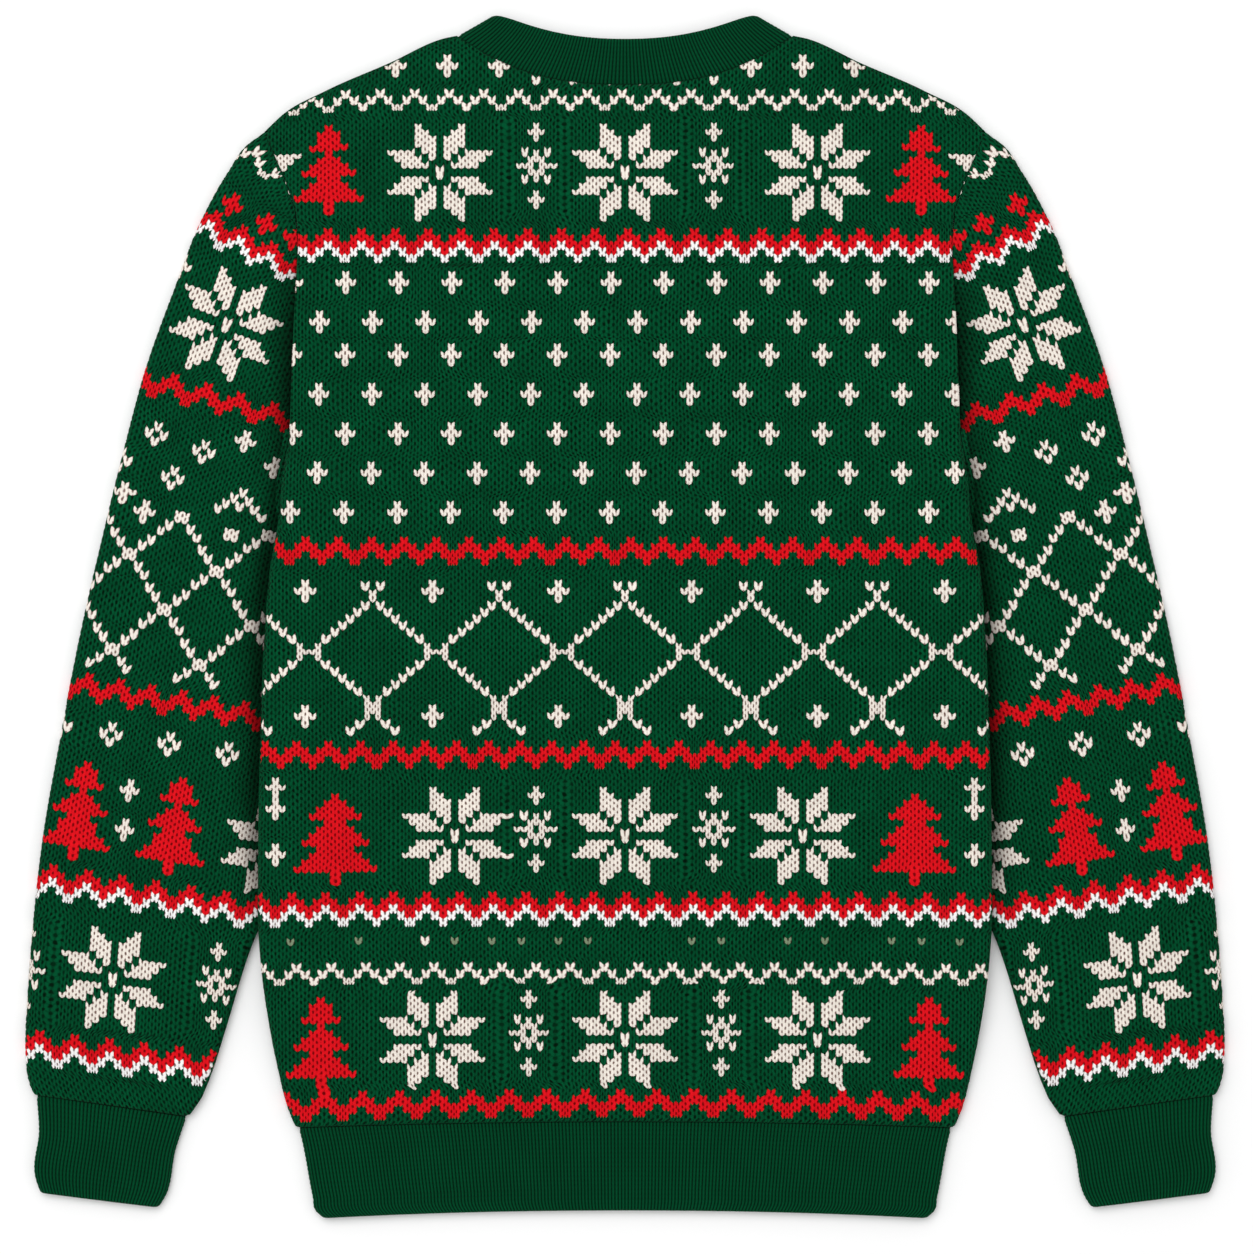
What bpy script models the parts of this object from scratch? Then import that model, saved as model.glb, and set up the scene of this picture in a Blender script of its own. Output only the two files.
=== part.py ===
"""A knitted crew-neck sweatshirt that lies flat on a surface, with its back upward.

+X runs across the chest, +Y from the hem to the neck and +Z up from the surface.
The origin is on the surface, under the middle of the garment's box.
Each sewn piece is a wall of knit. Widths are half widths from the centre line, heights
are measured from the lowest corner of the hem towards the neck, and both are in millimetres.
"""
import math
from collections import namedtuple

import bmesh
import bpy

MM = 0.001
LENGTH = 717.4              # lowest hem corner to the highest point of the neck rib
SEAM_GAP = 0.3              # clear space between two pieces at a seam
FOLD_CUT = 0.15             # half the space between the upper and lower layer at a fold

KNIT_WALL = 2.4             # one layer of the patterned knit
RIB_WALL = 3.0              # one layer of doubled ribbing
LAID = 8.2                  # body and sleeves, two layers with the air between them
RIB_LAID = 7.4              # hem and cuffs, pressed flatter

HEM_BOW = 3.6               # the hem seam runs this much higher in the middle than at its ends
HEM_EDGE_BOW = 5.2          # and so does the free edge of the hem rib
BOW_FADES = 120.0           # height where the rows are straight again
STRAIGHT_ROWS = 533.0       # above this height the rows begin to follow the shoulders
SHOULDER_SECANT = 1.2       # upright length over square length on the sloping shoulder

NECK_HALF = 99.8            # neck seam at the shoulder
NECK_HEIGHT = 703.8
BACK_NECK_DROP = 29.1
BACK_NECK_POWER = 2.5
FRONT_NECK_DROP = 85.0
RIB_PEAK_HALF = 76.0        # highest points of the neck rib, left and right
RIB_DEPTH = 27.2            # neck rib, seam to free edge, at the middle
BACK_EDGE_POWER = 2.2

SLEEVE_CLEARANCE = 0.5      # air between a tucked sleeve and the body that lies on it
LIFT = LAID + SLEEVE_CLEARANCE
LIFT_INSIDE = 15.0          # the body is fully lifted this far inside the sleeve's edge
LIFT_RAMP = 42.0            # and comes down to the surface over this width
LIFT_STARTS = 465.0         # heights between which the lift grows below the underarm
LIFT_FULL = 430.0
LIFT_FADES = 163.0          # heights between which it dies away above the hem
LIFT_ENDS = 62.0

Edge = namedtuple("Edge", "height half_width")
Section = namedtuple("Section", "outer_half outer_height inner_half inner_height")

BODY_SIDE = [
    Edge(54.6, 196.4),      # hem seam
    Edge(68.0, 201.4),
    Edge(88.0, 206.2),
    Edge(120.0, 212.0),
    Edge(163.0, 216.8),
    Edge(215.0, 217.3),     # fullest row
    Edge(285.0, 216.0),
    Edge(345.0, 213.6),
    Edge(390.0, 209.8),
    Edge(417.0, 205.0),
    Edge(443.0, 202.9),
    Edge(469.0, 199.6),     # underarm
]
ARMHOLE = [
    Edge(469.0, 199.6),     # underarm
    Edge(500.0, 198.4),
    Edge(533.0, 197.0),
    Edge(560.0, 195.6),
    Edge(580.0, 194.4),
    Edge(600.0, 196.2),
    Edge(616.0, 201.2),
    Edge(631.0, 207.6),
    Edge(646.6, 214.4),     # shoulder point
]
SHOULDER = [
    Edge(NECK_HEIGHT, NECK_HALF),
    Edge(702.2, 107.6),
    Edge(687.6, 140.0),
    Edge(671.0, 178.0),
    Edge(656.5, 204.0),
    Edge(646.6, 214.4),     # shoulder point
]
SLEEVE = [                  # sections below the armhole seam, shoulder side and body side
    Section(223.6, 640.2, 200.7, 462.5),
    Section(236.0, 623.5, 201.8, 454.0),
    Section(252.5, 593.7, 203.4, 443.0),
    Section(268.5, 553.0, 204.8, 425.0),
    Section(284.0, 510.5, 197.0, 403.0),
    Section(299.0, 455.5, 188.0, 374.0),
    Section(311.5, 404.5, 184.0, 340.0),
    Section(325.2, 344.2, 185.0, 297.0),
    Section(336.8, 283.0, 190.5, 250.0),
    Section(346.0, 231.0, 204.5, 203.0),
    Section(351.8, 182.0, 221.5, 164.5),
    Section(355.8, 130.4, 238.5, 110.5),
    Section(356.9, 100.0, 247.0, 84.0),
    Section(355.4, 84.0, 252.8, 70.5),
    Section(352.4, 74.3, 259.4, 61.2),      # cuff seam
]
CUFF = [
    Section(350.3, 73.7, 261.0, 60.8),
    Section(348.9, 53.0, 267.4, 41.5),
    Section(350.8, 23.5, 273.8, 13.0),
    Section(348.0, 15.4, 277.6, 6.9),       # open end, with eased corners
]
HEM_RIB = [
    Edge(54.2, 194.2),
    Edge(47.0, 192.4),
    Edge(13.0, 185.9),
    Edge(4.2, 183.8),
    Edge(0.0, 179.0),       # free edge, with eased corners
]

# Columns of the body panels, as shares of the half width inside the side folds.
NECK_COLUMN = NECK_HALF / (SHOULDER[-1].half_width - LAID / 2)
COLUMNS = [0.0, 0.1, 0.2, 0.3, 0.385, 0.445, NECK_COLUMN, 0.6, 0.715, 0.815, 0.91, 1.0]
FOLD_STEPS = [1.0, 0.5, 0.13, 0.0]  # places across a fold, as shares of its radius from the edge


def between(value, low, high):
    """Share of the way from low to high, kept from 0 to 1."""
    return min(max((value - low) / (high - low), 0.0), 1.0)


def eased(share):
    """The same share with a soft start and a soft end."""
    return share * share * (3.0 - 2.0 * share)


def read_table(value, keys, results):
    """Value of a table's column at a place between its rows."""
    pairs = sorted(zip(keys, results))
    for (low, first), (high, second) in zip(pairs, pairs[1:]):
        if value <= high:
            return first + (second - first) * between(value, low, high)
    return pairs[-1][1]


def half_width(height):
    """Half width of the body at its side edge or armhole."""
    edges = BODY_SIDE + ARMHOLE[1:]
    return read_table(height, [e.height for e in edges], [e.half_width for e in edges])


def shoulder_height(half):
    """Height of the shoulder fold at a distance from the centre line."""
    return read_table(half, [e.half_width for e in SHOULDER], [e.height for e in SHOULDER])


def back_neck(half):
    """Height of the back neck seam."""
    return NECK_HEIGHT - BACK_NECK_DROP * (1.0 - (half / NECK_HALF) ** BACK_NECK_POWER)


def front_neck(half):
    """Height of the front neck seam, a half ellipse."""
    return NECK_HEIGHT - FRONT_NECK_DROP * math.sqrt(max(0.0, 1.0 - (half / NECK_HALF) ** 2))


def back_edge(half):
    """Height of the neck rib's free edge at the back."""
    middle = back_neck(0.0) + RIB_DEPTH
    return middle + (LENGTH - middle) * (half / RIB_PEAK_HALF) ** BACK_EDGE_POWER


def front_edge(half):
    """Height of the neck rib's free edge at the front, a half ellipse."""
    middle = front_neck(0.0) + RIB_DEPTH
    return LENGTH - (LENGTH - middle) * math.sqrt(max(0.0, 1.0 - (half / RIB_PEAK_HALF) ** 2))


def lift(half, height):
    """How far the body is raised where it lies on a tucked sleeve."""
    sleeve_edge = read_table(height, [s.inner_height for s in SLEEVE],
                             [s.inner_half for s in SLEEVE])
    plateau = min(sleeve_edge, half_width(height)) - LIFT_INSIDE
    across = eased(between(half, plateau - LIFT_RAMP, plateau))
    below_underarm = eased(between(height, LIFT_STARTS, LIFT_FULL))
    above_hem = eased(between(height, LIFT_ENDS, LIFT_FADES))
    return LIFT * across * below_underarm * above_hem


def fold_sine(distance, radius):
    """Height round a folded edge, as a share of its radius, at a distance inside the edge."""
    inside = min(distance / radius, 1.0)
    return math.sqrt(1.0 - (1.0 - inside) ** 2)


def layer_heights(distance, thickness, wall):
    """Heights of a layer's outer and inner face above the middle of the two layers."""
    radius = thickness / 2
    sine = fold_sine(distance, radius)
    outer = FOLD_CUT + (radius - FOLD_CUT) * sine
    return outer, outer - wall * sine


def body_edge_distance(half, height, top):
    """Distance of a body point from the nearest fold: a side, an underarm or a shoulder."""
    underarm = ARMHOLE[0]
    if height <= underarm.height:
        side = half_width(height) - half
    else:
        side = math.hypot(underarm.half_width - half, height - underarm.height)
    neck_side = max(NECK_HALF - half, 0.0)
    rise = (shoulder_height(max(half, NECK_HALF)) - height) / SHOULDER_SECANT
    return min(max(side, 0.0), math.hypot(neck_side, max(rise, 0.0)) if top else side)


def panel_columns():
    """Share inside the fold and distance from the edge, for each column of one half."""
    radius = LAID / 2
    inside = [(share, radius) for share in COLUMNS]
    return inside + [(1.0, step * radius) for step in FOLD_STEPS[1:]]


def panel_rows():
    """Edge height and distance from the shoulder, or None, for each row of a body panel."""
    radius = LAID / 2
    underarm = ARMHOLE[0].height
    shoulder = ARMHOLE[-1].height
    side = [(edge.height, None) for edge in BODY_SIDE]
    corner = [(underarm + step * radius, None) for step in reversed(FOLD_STEPS[:-1])]
    armhole = [(edge.height, None) for edge in ARMHOLE[1:-1]]
    top = [(shoulder - step * radius * SHOULDER_SECANT, step * radius) for step in FOLD_STEPS]
    return side + corner + armhole + top


def panel_point(share, edge_distance, row_height, top_distance, neck_curve):
    """Half width and height of a body panel's point."""
    radius = LAID / 2
    if top_distance is not None:
        row_height = ARMHOLE[-1].height - top_distance * SHOULDER_SECANT
    half = share * (half_width(row_height) - radius) + radius - edge_distance
    half_at_top = share * (SHOULDER[-1].half_width - radius) + radius - edge_distance
    if half_at_top <= NECK_HALF + SEAM_GAP:
        top = neck_curve(half_at_top)
    else:
        top = shoulder_height(half_at_top)
    if top_distance is not None:
        return half, top - top_distance * SHOULDER_SECANT
    if row_height > STRAIGHT_ROWS:
        folded_rows = ARMHOLE[-1].height - radius * SHOULDER_SECANT
        way = between(row_height, STRAIGHT_ROWS, folded_rows)
        return half, STRAIGHT_ROWS + way * (top - radius * SHOULDER_SECANT - STRAIGHT_ROWS)
    bow = HEM_BOW * (1.0 - between(row_height, BODY_SIDE[0].height, BOW_FADES))
    return half, row_height + bow * (1.0 - (half / half_width(row_height)) ** 2)


def body_panel(neck_curve, upward):
    """Outer and inner grids of the back, or of the front turned downward."""
    radius = LAID / 2
    underarm = ARMHOLE[0].height
    outer_grid = []
    inner_grid = []
    for row_height, top_distance in panel_rows():
        outer_row = []
        inner_row = []
        for share, edge in panel_columns():
            half, height = panel_point(share, edge, row_height, top_distance, neck_curve)
            distance = body_edge_distance(half, height, True)
            outer, inner = layer_heights(distance, LAID, KNIT_WALL)
            middle = radius + lift(half, height)
            folds_at_side = row_height <= underarm
            folds_at_top = top_distance is not None and share >= NECK_COLUMN
            inner_edge = edge + KNIT_WALL * (1.0 - edge / radius) * folds_at_side
            inner_top = top_distance
            if folds_at_top:
                inner_top = top_distance + KNIT_WALL * (1.0 - top_distance / radius)
            inner_half, inner_height = panel_point(share, inner_edge, row_height, inner_top,
                                                   neck_curve)
            outer_row.append((half, height, middle + upward * outer))
            inner_row.append((inner_half, inner_height, middle + upward * inner))
        outer_grid.append(mirrored(outer_row))
        inner_grid.append(mirrored(inner_row))
    return outer_grid, inner_grid


def mirrored(half_row):
    """A whole row from its right half, whose first point is on the centre line."""
    left = [(-half, height, rise) for half, height, rise in reversed(half_row[1:])]
    return left + half_row


def along(line, distance):
    """Point at a distance along a line of points."""
    for (ax, ay), (bx, by) in zip(line, line[1:]):
        step = math.hypot(bx - ax, by - ay)
        if distance <= step:
            return (ax + (bx - ax) * distance / step, ay + (by - ay) * distance / step)
        distance -= step
    return line[-1]


def line_length(line):
    """Length of a line of points."""
    return sum(math.dist(first, second) for first, second in zip(line, line[1:]))


def ring(upper, lower, shares, thickness, wall):
    """Outer and inner loops of a flattened tube, from its upper and lower lines."""
    radius = thickness / 2
    outer_loop = []
    inner_loop = []
    for line, side in ((upper, 1), (lower, -1)):
        length = line_length(line)
        near = [step * radius for step in reversed(FOLD_STEPS)]
        far = [length - step * radius for step in FOLD_STEPS]
        stations = near + [share * length for share in shares] + far
        outer_half = []
        inner_half = []
        for station in stations:
            distance = min(station, length - station)
            outer, inner = layer_heights(distance, thickness, wall)
            inward = wall * max(0.0, 1.0 - distance / radius)
            moved = station + (inward if station < length / 2 else -inward)
            outer_half.append((*along(line, station), radius + side * outer))
            inner_half.append((*along(line, moved), radius + side * inner))
        outer_loop += outer_half[::side]
        inner_loop += inner_half[::side]
    return outer_loop, inner_loop


def vertex_shares(line):
    """Places of a line's inner points, as shares of its length."""
    length = line_length(line)
    return [line_length(line[:count]) / length for count in range(2, len(line))]


def sleeve_rings():
    """Rings of the right sleeve, from the armhole seam to the cuff seam."""
    seam = [(edge.half_width + SEAM_GAP * 1.2, edge.height) for edge in reversed(ARMHOLE)]
    shares = vertex_shares(seam)
    lines = [seam] + [section_line(section) for section in SLEEVE]
    return [ring(line, line, shares, LAID, KNIT_WALL) for line in lines]


def section_line(section):
    """Line across a sleeve or cuff from its outer fold to its inner fold."""
    return [(section.outer_half, section.outer_height), (section.inner_half, section.inner_height)]


def cuff_rings():
    """Rings of the right cuff, from its seam to its open end."""
    shares = [0.25, 0.5, 0.75]
    lines = [section_line(section) for section in CUFF]
    return [ring(line, line, shares, RIB_LAID, RIB_WALL) for line in lines]


def hem_rings():
    """Rings of the hem rib, from its seam to its free edge."""
    rings = []
    shares = [0.1, 0.25, 0.375, 0.5, 0.625, 0.75, 0.9]
    for edge in HEM_RIB:
        line = []
        for share in [0.0] + shares + [1.0]:
            half = edge.half_width * (2.0 * share - 1.0)
            middle_bow = HEM_EDGE_BOW + (HEM_BOW - HEM_EDGE_BOW) * edge.height / HEM_RIB[0].height
            bow = middle_bow * (1.0 - (half / edge.half_width) ** 2)
            line.append((half, edge.height + bow))
        rings.append(ring(line, line, shares, RIB_LAID, RIB_WALL))
    return rings


def neck_rings():
    """Rings of the neck rib, from its seam to its free edge, back above and front below."""
    seam_share = SEAM_GAP * 1.4 / RIB_DEPTH
    halves = [share * NECK_HALF / NECK_COLUMN for share in COLUMNS if share <= NECK_COLUMN]
    across = [-half for half in reversed(halves[1:])] + halves
    rings = []
    for way in (seam_share, 0.5, 1.0):
        lines = []
        for seam_curve, edge_curve in ((back_neck, back_edge), (front_neck, front_edge)):
            line = []
            for half in across:
                edge_half = half * RIB_PEAK_HALF / NECK_HALF
                seam_height = seam_curve(abs(half))
                edge_height = edge_curve(abs(edge_half))
                line.append((half + way * (edge_half - half),
                             seam_height + way * (edge_height - seam_height)))
            lines.append(line)
        rings.append(ring(lines[0], lines[1], vertex_shares(lines[0]), LAID, RIB_WALL))
    return rings


def in_place(point):
    """A point in metres, with the origin under the middle of the garment."""
    half, height, rise = point
    return (half * MM, (height - LENGTH / 2) * MM, rise * MM)


def add_body(name, mesh_builder, material):
    """Make one named object from a function that fills a bmesh."""
    mesh = bpy.data.meshes.new(name)
    body = bmesh.new()
    mesh_builder(body)
    bmesh.ops.recalc_face_normals(body, faces=body.faces)
    body.to_mesh(mesh)
    body.free()
    mesh.shade_smooth()
    mesh.set_sharp_from_angle(angle=math.radians(50))
    mesh.materials.append(material)
    obj = bpy.data.objects.new(name, mesh)
    bpy.context.collection.objects.link(obj)
    return obj


def add_sheet(name, grids, material):
    """A wall between an outer and an inner grid, closed along its four cut edges."""
    def fill(body):
        outer, inner = [[[body.verts.new(in_place(point)) for point in row] for row in grid]
                        for grid in grids]
        for face in (outer, inner):
            for low, high in zip(face, face[1:]):
                for corner in range(len(low) - 1):
                    body.faces.new((low[corner], low[corner + 1], high[corner + 1], high[corner]))
        rims = [(outer[0], inner[0]), (outer[-1], inner[-1]),
                ([row[0] for row in outer], [row[0] for row in inner]),
                ([row[-1] for row in outer], [row[-1] for row in inner])]
        for first, second in rims:
            for corner in range(len(first) - 1):
                body.faces.new((first[corner], first[corner + 1], second[corner + 1],
                                second[corner]))
    return add_body(name, fill, material)


def add_tube(name, rings, material, mirror=1):
    """A wall round a flattened tube, open at its first and last ring."""
    def fill(body):
        outer = []
        inner = []
        for outer_loop, inner_loop in rings:
            for loops, loop in ((outer, outer_loop), (inner, inner_loop)):
                loops.append([body.verts.new(in_place((mirror * x, y, z))) for x, y, z in loop])
        strips = list(zip(outer, outer[1:])) + list(zip(inner, inner[1:]))
        strips += [(outer[0], inner[0]), (outer[-1], inner[-1])]
        for low, high in strips:
            for corner in range(len(low)):
                following = (corner + 1) % len(low)
                body.faces.new((low[corner], low[following], high[following], high[corner]))
    return add_body(name, fill, material)


def knit_material(name, colour, roughness):
    """A matt wool-like finish."""
    material = bpy.data.materials.new(name)
    material.use_nodes = True
    shader = material.node_tree.nodes["Principled BSDF"]
    shader.inputs["Base Color"].default_value = (*colour, 1.0)
    shader.inputs["Roughness"].default_value = roughness
    shader.inputs["Metallic"].default_value = 0.0
    return material


GREEN = (0.0, 0.075, 0.026)
RIB_GREEN = (0.0, 0.058, 0.02)


def main():
    for obj in list(bpy.data.objects):
        bpy.data.objects.remove(obj, do_unlink=True)
    for name, neck_curve, upward in (("back", back_neck, 1), ("front", front_neck, -1)):
        add_sheet(name, body_panel(neck_curve, upward), knit_material(name, GREEN, 0.9))
    for side, mirror in (("left", -1), ("right", 1)):
        sleeve_knit = knit_material("sleeve_" + side, GREEN, 0.9)
        cuff_rib = knit_material("cuff_" + side, RIB_GREEN, 0.92)
        add_tube("sleeve_" + side, sleeve_rings(), sleeve_knit, mirror)
        add_tube("cuff_" + side, cuff_rings(), cuff_rib, mirror)
    add_tube("hem_rib", hem_rings(), knit_material("hem_rib", RIB_GREEN, 0.92))
    add_tube("neck_rib", neck_rings(), knit_material("neck_rib", RIB_GREEN, 0.92))


main()
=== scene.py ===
"""Finish of a knitted crew-neck sweatshirt that lies flat, with its back upward.

+X runs across the chest, +Y from the hem to the neck and +Z up. The form's own sizes are in
millimetres: half widths from the centre line, and heights from the lowest corner of the hem.
Every patterned piece is a lattice of stitches, two slanted legs each, with its yarns by a chart.
"""
import math
from collections import namedtuple
from functools import cached_property

import bpy
import numpy as np
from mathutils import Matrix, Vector
from mathutils.geometry import delaunay_2d_cdt
from mathutils.kdtree import KDTree


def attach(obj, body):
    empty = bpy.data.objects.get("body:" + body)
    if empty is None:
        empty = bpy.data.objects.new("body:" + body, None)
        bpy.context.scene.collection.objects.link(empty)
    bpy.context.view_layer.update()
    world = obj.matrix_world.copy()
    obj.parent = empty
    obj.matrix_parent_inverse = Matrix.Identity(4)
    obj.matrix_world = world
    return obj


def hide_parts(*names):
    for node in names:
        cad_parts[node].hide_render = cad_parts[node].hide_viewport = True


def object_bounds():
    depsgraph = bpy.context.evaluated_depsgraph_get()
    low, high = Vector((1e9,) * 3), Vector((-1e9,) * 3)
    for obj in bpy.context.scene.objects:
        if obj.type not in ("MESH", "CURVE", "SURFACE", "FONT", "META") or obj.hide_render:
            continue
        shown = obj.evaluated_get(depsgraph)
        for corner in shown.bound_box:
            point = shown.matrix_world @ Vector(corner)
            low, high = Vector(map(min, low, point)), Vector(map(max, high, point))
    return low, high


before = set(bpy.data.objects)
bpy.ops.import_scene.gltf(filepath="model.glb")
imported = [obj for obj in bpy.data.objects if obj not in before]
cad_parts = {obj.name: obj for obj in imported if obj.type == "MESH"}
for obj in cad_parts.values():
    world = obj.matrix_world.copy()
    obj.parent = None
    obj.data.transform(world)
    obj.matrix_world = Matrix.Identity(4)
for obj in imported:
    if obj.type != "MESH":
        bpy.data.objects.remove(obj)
CAD_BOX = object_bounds()

bl_info = {
    "name": "Knitted Holiday Sweatshirt",
    "version": (1, 0, 0),
    "blender": (4, 5, 0),
    "location": "3D View > Sidebar > Sweatshirt",
    "description": "A stranded crew-neck sweatshirt, stitch by stitch, laid on a pale floor",
    "category": "Add Mesh",
}

MM = 0.001

# ------------------------ form of the garment
LENGTH = 717.4              # lowest hem corner to the top of the neck rib
SEAM_GAP = 0.1              # clear space between two pieces at a seam
FOLD_CUT = 0.15             # half the space between the two layers at a sewn fold
KNIT_WALL = 2.4
RIB_WALL = 3.0
LAID = 8.2                  # body and sleeves, two layers with the air between them
RADIUS = LAID / 2           # the round of their folds
RIB_LAID = 7.4              # hem and cuffs, pressed flatter
QUARTER = math.pi / 2

HEM_BOW = 3.6               # the hem seam runs this much higher in the middle than at its ends
HEM_EDGE_BOW = 5.2
BOW_FADES = 120.0
SHOULDER_DROOP = 3.5        # rows sag this much at the shoulder point
DROOP_ACROSS = (150.0, 214.4)       # from where to where the sag grows, and so below
DROOP_UP = (600.0, 650.0)
SHOULDER_SECANT = 1.2       # length along the shoulder's slant to its length across

NECK_HALF = 99.8
NECK_HEIGHT = 703.8
BACK_NECK_DROP = 29.1
BACK_NECK_POWER = 2.5
FRONT_NECK_DROP = 85.0
RIB_PEAK_HALF = 76.0        # half width of the neck rib where its free edge is highest
RIB_DEPTH = 27.2
BACK_EDGE_POWER = 2.2

GROOVE = 3.2                # a sleeve is pressed down this much beside the body's edge
GROOVE_WIDTH = 6.0
GROOVE_FOOT = (165.0, 215.0)
GROOVE_TOP = (520.0, 600.0)
SHADE_WIDTH = 11.0          # how far from the body's edge shade is painted on the sleeve beside it
LIFT = LAID + 0.5           # the body is raised this much where it lies on a tucked sleeve
LIFT_INSIDE = 15.0
LIFT_RAMP = 42.0
LIFT_TOP = (465.0, 430.0)
LIFT_FOOT = (62.0, 163.0)
FAR = 99.0                  # further from a seam than any dip reaches
CREASE_CLEAR = 30.0         # creases fade out this near a fold
SLEEVE_CREASE_CLEAR = 25.0
SLOPE_STEP = 0.2
LEAST_RISE = 0.05           # the knit of a fold never faces quite level
SLEEVE_LEAST_RISE = 0.001

Edge = namedtuple("Edge", "height half_width")
Section = namedtuple("Section", "outer_half outer_height inner_half inner_height")
Course = namedtuple("Course", "row outer_height slope")

BODY_SIDE = [
    Edge(54.6, 196.4), Edge(68.0, 201.4), Edge(88.0, 206.2), Edge(120.0, 212.0),
    Edge(163.0, 216.8), Edge(215.0, 217.3), Edge(285.0, 216.0), Edge(345.0, 213.6),
    Edge(390.0, 209.8), Edge(417.0, 205.0), Edge(443.0, 202.9), Edge(469.0, 199.6),
]
ARMHOLE = [
    Edge(469.0, 199.6), Edge(500.0, 198.4), Edge(533.0, 197.0), Edge(560.0, 195.6),
    Edge(580.0, 194.4), Edge(600.0, 196.2), Edge(616.0, 201.2), Edge(631.0, 207.6),
    Edge(646.6, 214.4),
]
SHOULDER = [
    Edge(646.6, 214.4), Edge(656.5, 204.0), Edge(671.0, 178.0), Edge(687.6, 140.0),
    Edge(702.2, 107.6), Edge(NECK_HEIGHT, NECK_HALF),
]
HEM_SEAM, UNDERARM, SHOULDER_POINT = BODY_SIDE[0], ARMHOLE[0], ARMHOLE[-1]
SLEEVE = [
    Section(223.6, 640.2, 200.7, 462.5), Section(236.0, 623.5, 201.8, 454.0),
    Section(252.5, 593.7, 203.4, 443.0), Section(268.5, 553.0, 204.8, 425.0),
    Section(284.0, 510.5, 197.0, 403.0), Section(299.0, 455.5, 188.0, 374.0),
    Section(311.5, 404.5, 184.0, 340.0), Section(325.2, 344.2, 185.0, 297.0),
    Section(336.8, 283.0, 190.5, 250.0), Section(346.0, 231.0, 204.5, 203.0),
    Section(351.8, 182.0, 221.5, 164.5), Section(355.8, 130.4, 238.5, 110.5),
    Section(356.9, 100.0, 247.0, 84.0), Section(355.4, 84.0, 252.8, 70.5),
    Section(352.4, 74.3, 259.4, 61.2),
]
COURSES = [                 # rows of a sleeve: where they start on the outer fold, and their fall
    Course(0.0, 74.3, 8.0), Course(7.4, 103.5, 6.6), Course(31.4, 202.6, 8.6),
    Course(60.9, 318.7, 10.0), Course(80.6, 398.3, 11.5), Course(106.9, 499.9, 15.4),
    Course(129.4, 594.3, 27.6), Course(145.0, 647.6, 36.0),
]
CUFF = [
    Section(350.3, 73.7, 261.0, 60.8), Section(348.9, 53.0, 267.4, 41.5),
    Section(350.8, 23.5, 273.8, 13.0), Section(348.0, 15.4, 277.6, 6.9),
]
HEM_RIB = [
    Edge(54.2, 194.2), Edge(47.0, 192.4), Edge(13.0, 185.9), Edge(4.2, 183.8),
    Edge(0.0, 179.0),
]

# ------------------------ the stitch
FIRST_ROW = 58.8            # height of the body's row 0 at the centre line
HOLE_BELOW = -0.35          # places on a stitch, in rows above its foot
SIDE_HOLE = 0.15
SHOULDER_OF_LEG = 0.85
LEG_MIDDLE = 0.42
STITCH_MIDDLE = 0.32
HOLE_RELIEF = -0.7          # how far places stand off the cloth; a leg's two ends stand at 0
MIDDLE_RELIEF = 0.22
COLOUR_RELIEF = 0.1
EDGE_RELIEF = -0.45
FOLD_RELIEF = 0.35          # share of the relief that is left where the cloth stands upright
UNEVEN_PLACE = 0.018        # how unevenly the stitches are knitted, across and up
UNEVEN_RELIEF = 0.03
SPREAD = (-0.01, -0.1)      # shares by which coloured stitches spread over the ground
CREAM_SPREAD = (-0.01, -0.34)   # the same for cream ones: their ends draw back, up and down
LONE_SPREAD = (0.16, 0.16)      # the same for a stitch with no neighbour of its colour
EDGE_STEP = 1.1             # spacing of the points of a piece's outline
SEAM_DIP = 0.8
SEAM_DIP_WIDTH = 3.5
LINING_STEP = 14.0
FLOOR_CLEAR = 0.05          # the stitches that touch the floor are pressed flat on it

GROUND, CREAM, RED, WHITE, FAINT = range(5)


def between(value, low, high):
    """Share of the way from low to high, kept from 0 to 1."""
    return np.clip((value - low) / (high - low), 0.0, 1.0)


def eased(share):
    """The same share with a soft start and a soft end."""
    return share * share * (3.0 - 2.0 * share)


def pair(across, up):
    """Places from their two coordinates."""
    return np.stack(np.broadcast_arrays(across, up), axis=-1)


def unit(steps):
    """Steps made one long."""
    return steps / np.linalg.norm(steps, axis=1)[:, None]


def curve_through(values, keys, results):
    """Smooth curve through keys and their results, read at an array of places."""
    order = np.argsort(keys)
    keys = np.asarray(keys, float)[order]
    results = np.asarray(results, float)[order]
    slopes = np.gradient(results, keys)
    values = np.clip(values, keys[0], keys[-1])
    cell = np.clip(np.searchsorted(keys, values, side="right") - 1, 0, len(keys) - 2)
    width = keys[cell + 1] - keys[cell]
    way = (values - keys[cell]) / width
    rise = results[cell + 1] - results[cell]
    lean_in = slopes[cell] * width
    lean_out = slopes[cell + 1] * width
    bend = 3 * rise - 2 * lean_in - lean_out + way * (lean_in + lean_out - 2 * rise)
    return results[cell] + way * (lean_in + way * bend)


def column(rows, name):
    """One named column of a table."""
    return [getattr(row, name) for row in rows]


def read(rows, key, result, values):
    """Smooth curve from one named column of a table to another."""
    return curve_through(values, column(rows, key), column(rows, result))


def gauge():
    """Width and height of a stitch, in metres."""
    settings = bpy.context.scene.sweatshirt_gauge
    return np.array([settings.stitch_width, settings.row_height])


# ------------------------ charts of the pattern
def star():
    """An eight-petalled star, 15 stitches across, from its own rule."""
    reach = np.abs(np.arange(-7, 8))
    across, up = np.meshgrid(reach, reach, indexing="ij")
    upright = (across >= 1) & (across <= 3) & (up > across) & (up <= across + 4)
    return upright | upright.T | (across + up == 0)


def tree(*widths):
    """A fir of three tiers, from the widths of its rows, the top one first."""
    reach = np.arange(-(max(widths) // 2), max(widths) // 2 + 1)
    return np.array([np.abs(reach) <= width // 2 for width in reversed(widths)]).T


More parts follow.
